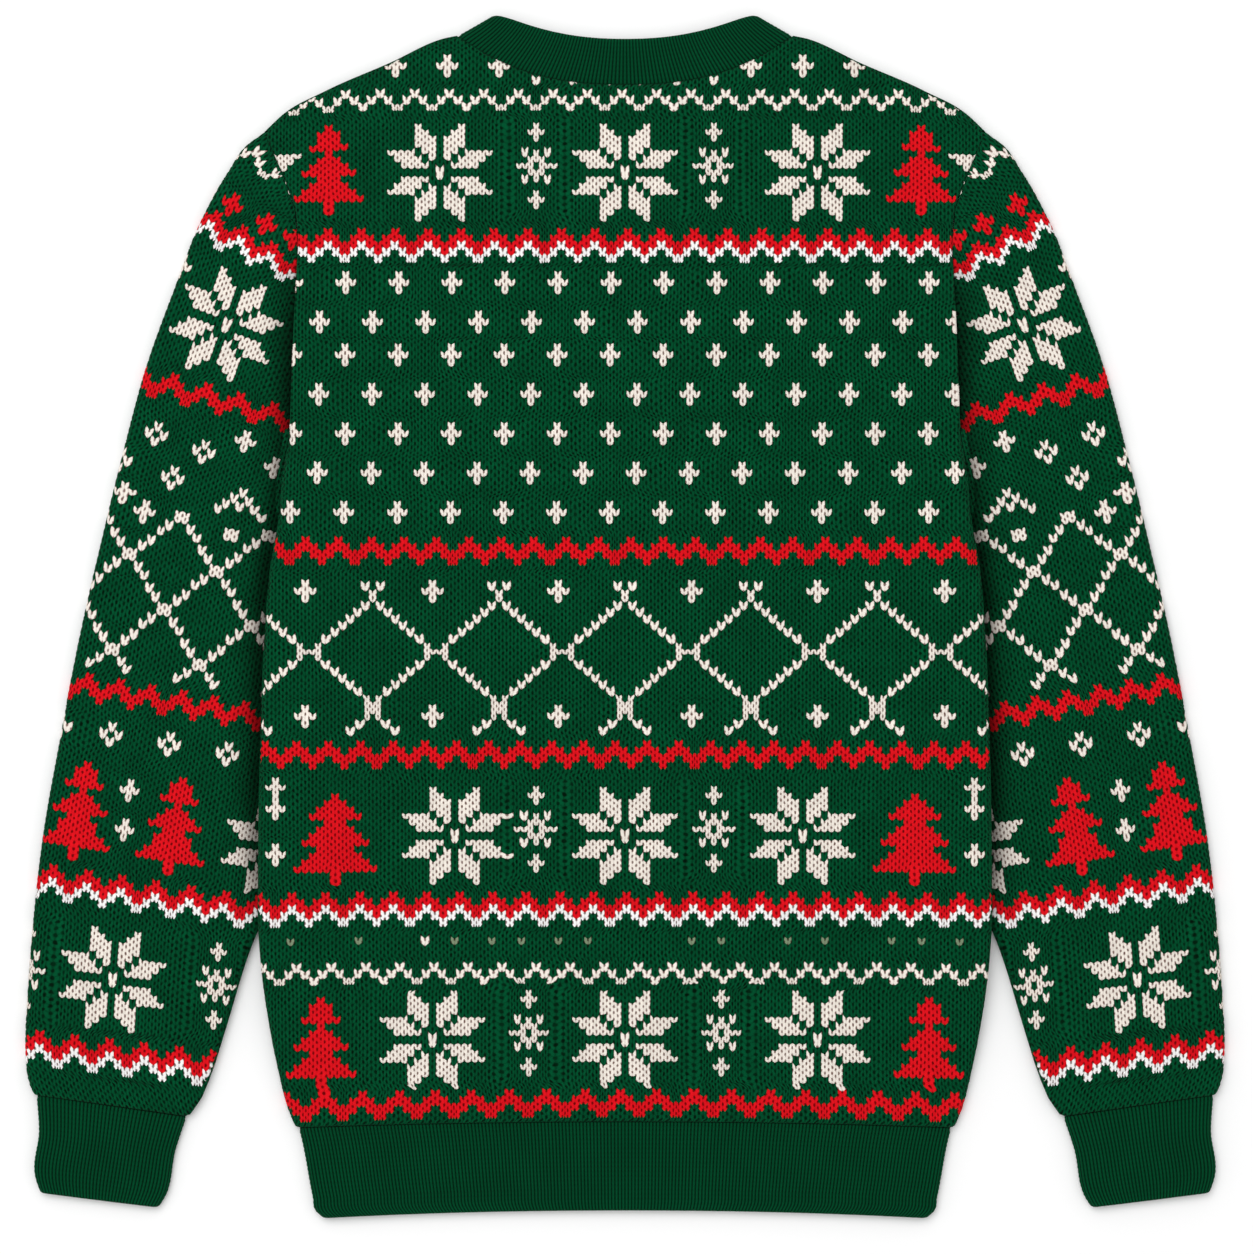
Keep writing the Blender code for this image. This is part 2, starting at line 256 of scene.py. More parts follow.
def cross(centre=True):
    """A small cross of five stitches, or of four round an open centre."""
    return np.array([[0, 1, 0], [1, centre, 1], [0, 1, 0]], bool)


def spindle():
    """A snowflake with an open centre between two crosses, one above the other."""
    across, up = np.abs(np.meshgrid(np.arange(-3, 4), np.arange(-2, 3), indexing="ij"))
    chart = np.zeros((7, 13), bool)
    chart[:, 4:9] = ((across == up) | (across * up == 0)) & (across + up > 0)
    chart[2:5, :3] = chart[2:5, 10:] = cross()
    return chart


SHAPES = {
    "star": star(), "petal_right": star()[11:, 8:11], "petal_left": star()[:4, 8:11],
    "tree": tree(1, 3, 3, 5, 1, 3, 5, 7, 3, 5, 7, 9, 1, 1),
    "broad_tree": tree(1, 3, 5, 7, 3, 5, 7, 9, 5, 7, 9, 11, 1, 1),
    "sleeve_tree": tree(1, 3, 3, 5, 1, 3, 5, 7, 3, 5, 5, 7, 9, 1, 1),
    "dot": cross(), "cross": cross(), "open_cross": cross(False), "spindle": spindle(),
    "node": np.ones((4, 3), bool), "fork": np.ones((3, 3), bool),
    "trunk": np.ones((1, 2), bool),
}
DRAWN_ONLY = ("node", "fork", "trunk")      # these change how their stitches are drawn alone
DRAWN_IN = {                # how wide and high a motif is drawn, and rows by which it is raised
    "spindle": (0.76, 1.03, 0.0), "dot": (0.92, 1.28, 0.25), "cross": (1.0, 1.28, 0.25),
    "open_cross": (1.0, 1.12, 0.1), "tree": (1.05, 1.0, 0.0), "fork": (0.72, 1.0, 0.0),
    "node": (0.82, 0.95, 0.0), "sleeve_tree": (1.05, 1.0, 0.0), "trunk": (1.45, 1.0, 0.0),
}
DRAW_FADE = 2.3             # how far from a motif its neighbours are drawn along with it
SPINDLE_FADE = 1.1
UP_FADE = 2.0
STAR_DRAW = 0.07            # a star's petals are a little shorter than their stitches
STAR_LIFT = 0.42            # rows by which the upright petals stand off the lying ones
LATTICE_ROWS = (0, 2, 4, 5, 7)              # rows of one step of the sleeve's diamonds
LATTICE_HEIGHTS = (0, 2, 4.32, 4.68, 7)     # how high they stand, so that the arms look even
LATTICE_LEAN = 0.85         # columns by which the foot of the diamonds stands inward
LATTICE_FOOT = (-4.5, -1.0)     # rows below the diamonds over which the lean starts
ZIGZAG_REACH = 1.35         # rows round the middle of a zigzag that are evened with it
ZIGZAG_MIDDLE = 0.6
ZIGZAG_FADE = 0.9

VALLEY_SHARES = {           # where the stitches from one peak of a zigzag to the next stand
    4: (0.0, 0.25, 0.5, 0.75), 5: (0.0, 0.24, 0.43, 0.57, 0.76),
}
ALTERNATE = (4, 5)          # peaks 4 and 5 stitches apart in turn
EVEN = (5,)
RED_BAND = [(RED, 2)]
RED_ON_WHITE = [(WHITE, 1), (RED, 2)]
THIN_CREAM = [(CREAM, 1)]

Band = namedtuple("Band", "row layers periods start")
Motif = namedtuple("Motif", "shape column row yarn nudge", defaults=[CREAM, 0.0])


def row_of(shape, row, *columns, yarn=CREAM):
    """The same motif at some columns of a row."""
    return [Motif(shape, place, row, yarn) for place in columns]


SEEDED_BAND = Band(30, RED_ON_WHITE, ALTERNATE, 0.2)
BODY_BANDS = [
    Band(1, RED_BAND, EVEN, -0.6), Band(21, THIN_CREAM, (5, 4, 5, 4, 5), -2.8), SEEDED_BAND,
    Band(54, RED_BAND, (4, 4, 5, 4, 4, 4, 5), -1.3),
    Band(85, RED_BAND, (4, 4, 5, 4, 4, 5, 4, 5), 0.8), Band(131, RED_ON_WHITE, ALTERNATE, 0.4),
    Band(154, THIN_CREAM, (5, 4, 5), -0.4),
]
SLEEVE_BANDS = [
    Band(5, RED_ON_WHITE, (5, 5, 5, 4), 2.6), Band(29, RED_ON_WHITE, (5, 4, 5), 2.7),
    Band(59, RED_BAND, (4, 4, 5, 4, 4, 4, 5), 2.8), Band(105, RED_BAND, (5, 5, 4), 0.1),
    Band(127, RED_ON_WHITE, (5, 4, 5, 4, 5), 2.0), Band(140, THIN_CREAM, EVEN, 2.4),
]
DOT_PITCH = 7.16
DOT_PLACES = [              # rows of small crosses, offset from row to row
    (row, start + DOT_PITCH * count) for row, start in
    ((92, -2.1), (98, 1.5), (104, -2.0), (110, 1.6), (116, -2.0), (121, 1.7), (127, -1.9))
    for count in range(-8, 9)
]
BODY_MOTIFS = [
    *row_of("star", 12, -26, 0, 26), *row_of("spindle", 13, -13, 13),
    *row_of("tree", 12, -41, 41, yarn=RED),
    *row_of("star", 43, -23, 0, 24), *row_of("spindle", 44, -12, 12),
    *row_of("broad_tree", 43, -39, 39, yarn=RED),
    *row_of("dot", 50, -47, 47), *row_of("dot", 47, -47, 47), *row_of("dot", 40, -47, 47),
    *row_of("star", 144, -25, 0, 26), *row_of("spindle", 145, -12, 12),
    *row_of("tree", 145, -40, 40, yarn=RED),
    Motif("petal_right", -45, 146), Motif("petal_left", 46, 146),
    *row_of("cross", 160, -17, 17, -24, 24, -31, 31, -38, 38),
    *row_of("cross", 80, -9, 9, -26, 26, -43, 43), *row_of("cross", 61, -9, 9, -26, 26, -43, 43),
    *[Motif("dot", round(place), row, CREAM, place - round(place)) for row, place in DOT_PLACES],
    *row_of("trunk", 6, -41, 41), *row_of("trunk", 37, -39, 39), *row_of("trunk", 139, -40, 40),
    *row_of("fork", 62, *range(-51, 52, 17)), *row_of("node", 71, *range(-42, 44, 17)),
]
SLEEVE_MOTIFS = [Motif(*row) for row in (
    ("star", 12, 18), ("spindle", 26, 19), ("spindle", 0, 18), ("sleeve_tree", 5, 42, RED),
    ("sleeve_tree", 18, 42, RED), ("trunk", 5, 36), ("trunk", 18, 36), ("star", 32, 41),
    ("cross", 11, 46, CREAM, 0.1), ("cross", 11, 40, CREAM, 0.35),
    ("open_cross", 1, 54, CREAM, -0.6), ("open_cross", 7, 54, CREAM, 0.3),
    ("open_cross", 15, 54, CREAM, 0.25), ("open_cross", 23, 54, CREAM, 0.25),
    ("cross", 2, 89), ("cross", 5, 87, CREAM, 0.4),
    ("open_cross", 8, 93), ("open_cross", 1, 94, CREAM, -0.4),
    ("open_cross", 4, 99, CREAM, 0.4), ("open_cross", 11, 98, CREAM, 0.2),
    ("cross", 16, 101, CREAM, 0.3), ("cross", 21, 98), ("open_cross", 18, 92, CREAM, -0.3),
    ("star", 9, 117), ("cross", 0, 122), ("cross", 3, 133, RED, 0.4),
    ("cross", 9, 133, RED, -0.3), ("cross", 13, 133, RED),
)]
SLEEVE_MOTIFS += [motif._replace(column=-motif.column) for motif in SLEEVE_MOTIFS
                  if motif.column > 0] + [Motif("cross", -2, 133, RED)]


def zigzag_level(columns, band):
    """Rows above the valley of a zigzag whose peaks are a list of stitches apart."""
    place = (columns - round(band.start)) % sum(band.periods)
    peaks = np.cumsum([0, *band.periods])
    return np.maximum(2 - np.abs(place[:, None] - peaks).min(axis=1), 0)


class Chart:
    """Yarns of a piece's stitches, by column and by row from its lower seam."""

    def __init__(self, form):
        self.form = form
        self.columns = np.arange(form.columns[0] - 2, form.columns[1] + 3)
        self.yarns = np.full((len(self.columns), form.rows[1] + 3), GROUND)
        for band in form.bands:
            self.zigzag(band)
        form.lattice(self)
        for motif in form.motifs:
            if motif.shape not in DRAWN_ONLY:
                self.stamp(motif)

    def zigzag(self, band):
        """Lay a zigzag of stacked layers, from the lowest layer up."""
        for index, level in enumerate(zigzag_level(self.columns, band)):
            row = band.row + level
            for yarn, thickness in band.layers:
                self.yarns[index, row:row + thickness] = yarn
                row += thickness

    def stamp(self, motif):
        """Lay a motif with its middle at its column and row."""
        shape = SHAPES[motif.shape]
        places = np.argwhere(shape) - np.array(shape.shape) // 2
        places += (motif.column - self.columns[0], motif.row)
        held = ((places >= 0) & (places < self.yarns.shape)).all(axis=1)
        self.yarns[tuple(places[held].T)] = motif.yarn

    def block(self, low, high, rows):
        """Cream stitches from one column to another, in some rows."""
        self.yarns[(self.columns >= low) & (self.columns <= high), rows] = CREAM

    def arms(self, left, right, rows):
        """Two slanted lines of cream stitches, outward from two columns, one stitch a row."""
        for step, row in enumerate(rows):
            self.yarns[np.isin(self.columns, (left - step, right + step)), row] = CREAM

    def lobed(self):
        """Which stitches show two lobes at the foot: a zigzag's lowest ones, a star's middle."""
        marked = np.zeros(self.yarns.shape, bool)
        for band in self.form.bands:
            marked[np.arange(len(marked)), zigzag_level(self.columns, band) + band.row] = True
        for motif in self.form.motifs:
            if motif.shape == "star":
                marked[self.columns == motif.column, motif.row] = True
        return marked

    def alone(self):
        """Which stitches of a bright yarn have no coloured neighbour."""
        filled = np.pad(self.yarns != GROUND, 1)
        beside = filled[:-2, 1:-1] | filled[2:, 1:-1] | filled[1:-1, :-2] | filled[1:-1, 2:]
        return ~beside & (self.yarns != FAINT) & (self.yarns != GROUND)

    def yarn_at(self, stitches):
        """Yarn of the stitch at stitch coordinates."""
        nearest = np.round(stitches[:, 0]).astype(int)
        row = np.floor(stitches[:, 1] - HOLE_BELOW - np.abs(stitches[:, 0] - nearest)).astype(int)
        return self.yarns[nearest - self.columns[0], np.clip(row, 0, self.yarns.shape[1] - 1)]


def body_lattice(chart):
    """Diamonds 17 stitches wide and 18 rows high, a row of seeds, and dashes at the neck."""
    for node in range(-51, 52, 17):
        chart.block(node, node, slice(79, 81))
        chart.block(node - 1, node + 1, slice(62, 64))
        chart.block(node + 7, node + 10, 71)
        for rows in ((70,), (72,)):
            chart.arms(node + 7, node + 10, rows)
        for rows in ((81,), range(78, 72, -1), range(64, 70), (61, 60, 59)):
            chart.arms(node - 1, node + 1, rows)
    luck = np.random.default_rng(27).random(len(chart.columns))
    seeds = zigzag_level(chart.columns, SEEDED_BAND) == 2
    chart.yarns[seeds & (luck < 0.7), 27] = FAINT
    chart.yarns[seeds & (luck < 0.15), 27] = CREAM
    reach = np.abs(chart.columns)
    chart.yarns[(reach <= 16) & (reach % 5 == 2), 158] = CREAM


def sleeve_lattice(chart):
    """Small diamonds 12 stitches wide and 14 rows high, with square nodes."""
    for turn, row in enumerate((66, 73, 80, 87)):
        for node in range(-44 + 6 * (turn % 2), 40, 12):
            chart.block(node, node + 1, slice(row, row + 2))
            if row < 87:
                chart.arms(node - 1, node + 2, (row + 2, row + 3, row + 5, row + 6))
            if row == 66:
                chart.arms(node - 1, node + 2, (65, 64))
    chart.block(17, 18, slice(86, 88))
    chart.arms(16, 20, (91, 90))


def even_places(columns, band):
    """Where the columns of a zigzag stand, so that its peaks are all equally far apart."""
    total = sum(band.periods)
    pitch = total / len(band.periods)
    spots = [(turn + share) * pitch for turn, period in enumerate(band.periods)
             for share in VALLEY_SHARES[period]]
    reach = columns - round(band.start)
    whole = np.floor(reach / total) * total
    return band.start + whole + np.interp(reach - whole, range(total + 1), [*spots, total])


def eased_rows(stitches, form):
    """Stitch coordinates with zigzags and diamonds evened out, and motifs drawn in or out."""
    shift = np.zeros(stitches.shape)
    row = stitches[:, 1]
    low, high = form.lattice_rows
    if low < high:
        step = (row - low) % LATTICE_ROWS[-1]
        eased_step = np.interp(step, LATTICE_ROWS, LATTICE_HEIGHTS)
        shift[:, 1] += np.where((row > low) & (row < high), eased_step - step, 0.0)
        lean = between(row - low, *LATTICE_FOOT) - between(row, low, high)
        shift[:, 0] += LATTICE_LEAN * lean
    for band in form.bands:
        half = ZIGZAG_REACH + sum(thickness for _, thickness in band.layers) / 2
        off = np.abs(row - band.row - half + ZIGZAG_MIDDLE)
        share = 1.0 - eased(between(off, half, half + ZIGZAG_FADE))
        shift[:, 0] += share * (even_places(stitches[:, 0], band) - stitches[:, 0])
    for motif in form.motifs:
        wide, high = SHAPES[motif.shape].shape
        half = np.array([wide, high]) / 2
        off = stitches - (motif.column - 0.5 + wide % 2 / 2, motif.row + high % 2 / 2 - 0.1)
        near = (np.abs(off) < half + DRAW_FADE).all(axis=1)
        off = off[near]
        reach = np.array([SPINDLE_FADE if motif.shape == "spindle" else DRAW_FADE, UP_FADE])
        fade = 1.0 - eased(between(np.abs(off) - half, 0.0, reach))
        held = np.clip(off, -half, half)
        wider, taller, raised = DRAWN_IN.get(motif.shape, (1.0, 1.0, 0.0))
        drawn = np.array([wider - 1.0, taller - 1.0]) * held + np.array([motif.nudge, raised])
        if motif.shape == "star":
            drawn = -STAR_DRAW * np.sign(held) * np.maximum(np.abs(held) - 2.0, 0.0)
            upright = eased(between(np.abs(off[:, 1]) - np.abs(off[:, 0]), -0.6, 0.9))
            drawn[:, 1] = (drawn[:, 1] + STAR_LIFT * np.sign(off[:, 1])) * upright
        shift[near] += drawn * fade.prod(axis=1)[:, None]
    return stitches + shift


# ------------------------ form of body and sleeves
def half_width(height):
    """Half width of the body at its side edge or armhole."""
    return read(BODY_SIDE + ARMHOLE[1:], "height", "half_width", height)


def shoulder_height(half):
    """Height of the shoulder fold at a distance from the centre line."""
    return read(SHOULDER, "half_width", "height", half)


def out(half, widest):
    """Share of the way from the centre line to the widest place."""
    return np.minimum(np.abs(half) / widest, 1.0)


def back_neck(half):
    """Height of the back neck seam."""
    return NECK_HEIGHT - BACK_NECK_DROP * (1.0 - out(half, NECK_HALF) ** BACK_NECK_POWER)


def front_neck(half):
    """Height of the front neck seam, a half ellipse."""
    return NECK_HEIGHT - FRONT_NECK_DROP * np.sqrt(1.0 - out(half, NECK_HALF) ** 2)


def back_edge(half):
    """Height of the neck rib's free edge at the back."""
    middle = back_neck(0.0) + RIB_DEPTH
    return middle + (LENGTH - middle) * out(half, RIB_PEAK_HALF) ** BACK_EDGE_POWER


def front_edge(half):
    """Height of the neck rib's free edge at the front, a half ellipse."""
    middle = front_neck(0.0) + RIB_DEPTH
    return LENGTH - (LENGTH - middle) * np.sqrt(1.0 - out(half, RIB_PEAK_HALF) ** 2)


def lift(half, height):
    """How far the body is raised where it lies on a tucked sleeve."""
    sleeve_edge = read(SLEEVE, "inner_height", "inner_half", height)
    plateau = np.minimum(sleeve_edge, half_width(height)) - LIFT_INSIDE
    raised = eased(between(half, plateau - LIFT_RAMP, plateau))
    below_underarm = eased(between(height, *LIFT_TOP))
    above_hem = eased(between(height, *LIFT_FOOT))
    return LIFT * raised * below_underarm * above_hem


def body_edge_distance(half, height):
    """Distance of body points from the nearest fold: a side, an underarm or a shoulder."""
    side = np.where(height <= UNDERARM.height, half_width(height) - half,
                    np.hypot(UNDERARM.half_width - half, height - UNDERARM.height))
    neck_side = np.maximum(NECK_HALF - half, 0.0)
    rise = (shoulder_height(np.maximum(half, NECK_HALF)) - height) / SHOULDER_SECANT
    return np.minimum(np.maximum(side, 0.0), np.hypot(neck_side, np.maximum(rise, 0.0)))


def distance_to_line(points, line):
    """Distance of points from a line of points, and the direction towards it."""
    best = np.full(len(points), np.inf)
    towards = np.zeros_like(points)
    for first, second in zip(line, line[1:]):
        run = second - first
        share = np.clip((points - first) @ run / (run @ run), 0.0, 1.0)
        step = first + share[:, None] * run - points
        length = np.hypot(step[:, 0], step[:, 1])
        nearer = length < best
        best[nearer] = length[nearer]
        towards[nearer] = step[nearer]
    return best, towards / np.maximum(best, 1e-6)[:, None]


def groove(points, width=GROOVE_WIDTH):
    """How far a sleeve is pressed down beside the edge of the body that lies on it; with a wider
    width, how far the painted shade there reaches.
    """
    aside = np.maximum(points[:, 0] - half_width(points[:, 1]), 0.0)
    below = 1.0 - eased(between(points[:, 1], *GROOVE_TOP))
    above = eased(between(points[:, 1], *GROOVE_FOOT))
    return GROOVE * below * above * np.exp(-(aside / width) ** 2)


Crease = namedtuple("Crease", "across up length width turn depth")
BODY_CREASES = [            # millimetres; the turn is from upright, and a ridge has a minus depth
    Crease(-150.0, 500.0, 90.0, 16.0, 24.0, 0.9), Crease(158.0, 486.0, 70.0, 14.0, -28.0, 0.8),
    Crease(-120.0, 300.0, 140.0, 26.0, 8.0, 0.7), Crease(96.0, 250.0, 170.0, 30.0, -6.0, 0.7),
    Crease(20.0, 420.0, 120.0, 30.0, 70.0, 0.5), Crease(-60.0, 130.0, 90.0, 22.0, 14.0, -0.6),
]
SLEEVE_CREASES = [          # millimetres along the row and rows from the cuff
    Crease(70.0, 88.0, 34.0, 9.0, 66.0, 0.9), Crease(95.0, 70.0, 30.0, 8.0, 58.0, 0.8),
    Crease(-60.0, 80.0, 32.0, 9.0, 62.0, 0.8), Crease(45.0, 20.0, 26.0, 7.0, -20.0, 0.6),
]


def swell(across, up, creases):
    """Height of the cloth over its flat form, from soft troughs and ridges."""
    total = np.zeros(len(across))
    for crease in creases:
        turn = math.radians(crease.turn)
        along = (across - crease.across) * math.sin(turn) + (up - crease.up) * math.cos(turn)
        aside = (across - crease.across) * math.cos(turn) - (up - crease.up) * math.sin(turn)
        total -= crease.depth * np.exp(-(along / crease.length) ** 2
                                       - (aside / crease.width) ** 2)
    return total


def layer_points(plan, base, layer, cut, distance, folds, outward, least):
    """Points of an upper or lower layer, rounded at its folds, and the way their knit faces."""
    lean = 1.0 - np.clip(distance / RADIUS, 0.0, 1.0)
    sine = np.sqrt(1.0 - lean ** 2)
    rise = base + layer * (cut + (RADIUS - cut) * sine)
    rise = rise + layer * np.where(layer > 0, folds, np.minimum(folds, 0.0))
    facing = np.column_stack([outward * lean[:, None], layer * np.maximum(sine, least)])
    return np.column_stack([plan, rise]), unit(facing)


def dip(nearest):
    """How deep the cloth dips towards a seam, by its distance."""
    return SEAM_DIP * (1.0 - eased(between(nearest, 0.0, SEAM_DIP_WIDTH)))


class BodyForm:
    """Back or front panel. Cloth places are across and up, measured over the folds."""

    bands = BODY_BANDS
    motifs = BODY_MOTIFS
    lattice = staticmethod(body_lattice)
    lattice_rows = (0, 0)
    columns = (-51, 51)
    rows = (-3, 168)

    def __init__(self, neck_curve, hand):
        self.neck_curve = neck_curve
        self.hand = hand

    def sag(self, across, height):
        """How much lower the rows lie than straight ones, at the hem's ends and the shoulders."""
        droop = eased(between(np.abs(across), *DROOP_ACROSS)) * eased(between(height, *DROOP_UP))
        bow = HEM_BOW * (1.0 - between(height, HEM_SEAM.height, BOW_FADES))
        return SHOULDER_DROOP * droop + bow * (across / half_width(height)) ** 2

    def cloth_place(self, stitches):
        """Cloth places of stitch coordinates, in millimetres."""
        across, up = (stitches * gauge() / MM).T
        height = FIRST_ROW + up
        return pair(across, height - self.sag(across, height))

    def stitch_place(self, places):
        """Stitch coordinates of cloth places."""
        across, height = places.T
        straight = height
        for _ in range(6):
            straight = height + self.sag(across, straight)
        return pair(across, straight - FIRST_ROW) / (gauge() / MM)

    def limit(self, height):
        """Half width of the cloth at a height, with the half turn of the side fold."""
        wraps = height <= UNDERARM.height
        return half_width(height) + np.where(wraps, (QUARTER - 1.0) * RADIUS, 0.0)

    def top(self, half):
        """Height of the cloth's top edge: the shoulder with its half turn, or the neck seam."""
        fold = shoulder_height(half) + SHOULDER_SECANT * (QUARTER - 1.0) * RADIUS
        return np.where(half > NECK_HALF, fold, self.neck_curve(half))

    def bottom(self, across):
        """Height of the hem seam."""
        return HEM_SEAM.height + HEM_BOW * (1.0 - (across / HEM_SEAM.half_width) ** 2)

    def inside(self, places):
        """Which cloth places are inside the outline."""
        across, height = places.T
        held = np.abs(across) <= self.limit(height)
        return held & (height <= self.top(np.abs(across))) & (height >= self.bottom(across))

    def outline(self):
        """Closed outline in cloth places, anticlockwise from the left end of the hem."""
        end = self.limit(np.array(HEM_SEAM.height))
        hem = np.arange(-end, end, EDGE_STEP)
        heights = np.arange(HEM_SEAM.height, SHOULDER_POINT.height, EDGE_STEP)
        heights = heights[np.abs(heights - UNDERARM.height) > 0.4]
        halves = np.arange(SHOULDER_POINT.half_width, NECK_HALF + 0.2, -EDGE_STEP)
        neck = NECK_HALF * np.sin(np.linspace(QUARTER, 0.0, 130)[:-1])
        right = np.concatenate([pair(self.limit(heights), heights),
                                pair(halves, self.top(halves)),
                                pair(neck, self.neck_curve(neck))])
        middle = [[0.0, float(self.neck_curve(np.array(0.0)))]]
        return np.concatenate([pair(hem, self.bottom(hem))[1:], right, middle,
                               right[::-1] * (-1.0, 1.0)])

    def tuck(self, places):
        """How deep the cloth dips towards its seams."""
        across, height = places.T
        reach = np.abs(across)
        to_armhole = np.where(height > UNDERARM.height, half_width(height) - reach, FAR)
        to_neck = np.where(reach < NECK_HALF, self.neck_curve(reach) - height, FAR)
        return dip(np.minimum(np.minimum(to_armhole, to_neck), height - self.bottom(across)))

    def shade(self, points):
        """A panel gets no painted shade."""
        return np.zeros(len(points))

    def plan_half(self, across, height):
        """Half width in plan of a cloth place, round the side fold."""
        reach = np.abs(across)
        start = half_width(height) - RADIUS
        angle = np.clip((reach - start) / RADIUS, 0.0, QUARTER)
        wraps = (height <= UNDERARM.height) & (reach > start)
        return np.where(wraps, start + RADIUS * np.sin(angle), reach)

    def place(self, places):
        """Points on the panel and the way their knit faces."""
        across, height = places.T
        half = self.plan_half(across, height)
        turn = RADIUS * SHOULDER_SECANT
        start = shoulder_height(np.maximum(half, NECK_HALF)) - turn
        angle = np.clip((height - start) / turn, 0.0, QUARTER)
        folded = (half > NECK_HALF) & (height > start)
        height = np.where(folded, start + turn * np.sin(angle), height)
        distance = body_edge_distance(half, height)
        beside = body_edge_distance(half + SLOPE_STEP, height)
        above = body_edge_distance(half, height + SLOPE_STEP)
        slope_half = (beside - distance) / SLOPE_STEP
        slope_height = (above - distance) / SLOPE_STEP
        folds = swell(across, height, BODY_CREASES) * between(distance, 0.0, CREASE_CLEAR)
        side = np.where(across < 0, -1.0, 1.0)
        return layer_points(pair(half * side, height), RADIUS + lift(half, height), self.hand,
                            FOLD_CUT, distance, folds, pair(-slope_half * side, -slope_height),
                            LEAST_RISE)


class SleeveForm:
    """A sleeve. Cloth places are along a row from the outer fold, and rows from the cuff."""

    bands = SLEEVE_BANDS
    motifs = SLEEVE_MOTIFS
    lattice = staticmethod(sleeve_lattice)
    lattice_rows = (66, 87)
    columns = (-38, 38)
    rows = (-1, 146)

    def __init__(self, mirror):
        self.mirror = np.array([mirror, 1.0, 1.0])
        self.hand = -mirror
        gap = SEAM_GAP * SHOULDER_SECANT
        seam = [(edge.half_width + gap, edge.height) for edge in reversed(ARMHOLE)]
        heights = np.linspace(SLEEVE[0].inner_height, SLEEVE[-1].inner_height, 40)
        halves = read(SLEEVE, "inner_height", "inner_half", heights)
        self.inner_fold = np.vstack([seam[-1], pair(halves, heights)])
        self.edge = np.vstack([seam[:-1], self.inner_fold])
        self.levels = np.linspace(0.0, COURSES[-1].row - 0.2, 500)
        self.heights = self.levels * gauge()[1] / MM
        self.reach = self.row_lengths()
        ends = self.start(self.levels) + self.reach[:, None] * self.heading(self.levels)
        self.armhole_row = self.levels[np.argmax(ends[:, 1] > UNDERARM.height)]

    def start(self, row):
        """Place on the outer fold where a row starts."""
        height = read(COURSES, "row", "outer_height", row)
        halves = [SHOULDER_POINT.half_width + SEAM_GAP, *column(SLEEVE, "outer_half")]
        heights = [SHOULDER_POINT.height, *column(SLEEVE, "outer_height")]
        return pair(curve_through(height, heights, halves), height)

    def heading(self, row):
        """Direction of a row, from the outer fold towards the body."""
        slope = np.radians(read(COURSES, "row", "slope", row))
        return pair(-np.cos(slope), -np.sin(slope))

    def row_lengths(self):
        """Length in plan of each row, from the outer fold to the armhole or the inner fold."""
        across, up = self.heading(self.levels).T
        starts = self.start(self.levels)
        reach = np.full(len(self.levels), np.inf)
        for first, second in zip(self.edge, self.edge[1:]):
            run = second - first
            slant = across * run[1] - up * run[0]
            gap = first - starts
            length = (gap[:, 0] * run[1] - gap[:, 1] * run[0]) / slant
            share = (gap[:, 0] * up - gap[:, 1] * across) / slant
            hit = (share >= -1e-6) & (share <= 1.0 + 1e-6) & (length > 0)
            reach = np.where(hit & (length < reach), length, reach)
        cuff = SLEEVE[-1]
        reach[0] = math.dist((cuff.outer_half, cuff.outer_height),
                             (cuff.inner_half, cuff.inner_height))
        known = np.isfinite(reach)
        return np.interp(self.levels, self.levels[known], reach[known])

    def cloth_place(self, stitches):
        """Cloth places of stitch coordinates, in millimetres along the row and up the rows."""
        return stitches * gauge() / MM

    def stitch_place(self, places):
        """Stitch coordinates of cloth places."""
        return places / gauge() * MM

    def row_at(self, up):
        """Row at a height up the rows."""
        return up / (gauge()[1] / MM)

    def limit(self, up):
        """Length of the cloth from the outer fold to its edge, at a height up the rows."""
        return np.interp(self.row_at(up), self.levels, self.reach) + (QUARTER - 1.0) * RADIUS

    def inside(self, places):
        """Which cloth places are inside the outline."""
        along, up = places.T
        return (np.abs(along) <= self.limit(up)) & (up >= 0.0) & (up <= self.heights[-1])

    def outline(self):
        """Closed outline in cloth places, anticlockwise from the middle of the cuff seam."""
        side = pair(self.limit(self.heights), self.heights)
        foot = np.arange(0.0, side[0, 0] - 0.4, EDGE_STEP)
        head = np.arange(side[-1, 0] - EDGE_STEP, 0.4, -EDGE_STEP)
        right = np.concatenate([pair(foot, 0.0), side, pair(head, self.heights[-1])])
        return np.concatenate([right, [[0.0, self.heights[-1]]], right[:0:-1] * (-1.0, 1.0)])

    def tuck(self, places):
        """How deep the cloth dips towards its seams."""
        along, up = places.T
        beside_body = self.row_at(up) > self.armhole_row
        return dip(np.minimum(np.where(beside_body, self.limit(up) - np.abs(along), FAR), up))

    def shade(self, points):
        """Painted shade on each point of the upper layer, by how deep it lies in the fold beside
        the body.
        """
        right = points * self.mirror
        return np.where(right[:, 2] > RADIUS, groove(right, SHADE_WIDTH) / GROOVE, 0.0)

    def place(self, places):
        """Points on the sleeve and the way their knit faces."""
        along = places[:, 0]
        row = self.row_at(places[:, 1])
        reach = np.abs(along)
        angle = np.clip(reach / RADIUS, 0.0, QUARTER)
        plan = RADIUS * (1.0 - np.cos(angle)) + np.maximum(reach - RADIUS * QUARTER, 0.0)
        flat = self.start(row) + plan[:, None] * self.heading(row)
        inner, towards = distance_to_line(flat, self.inner_fold)
        outer_nearer = plan < inner
        distance = np.minimum(plan, inner)
        layer = np.sign(along)
        folds = swell(along, row, SLEEVE_CREASES) * between(distance, 0.0, SLEEVE_CREASE_CLEAR)
        outward = np.where(outer_nearer[:, None], -self.heading(row), towards)
        points, facing = layer_points(flat, RADIUS, layer, np.where(outer_nearer, 0.0, FOLD_CUT),
                                      distance, folds, outward, SLEEVE_LEAST_RISE)
        points[:, 2] -= np.where(layer > 0, groove(flat), 0.0)
        return points * self.mirror, facing * self.mirror


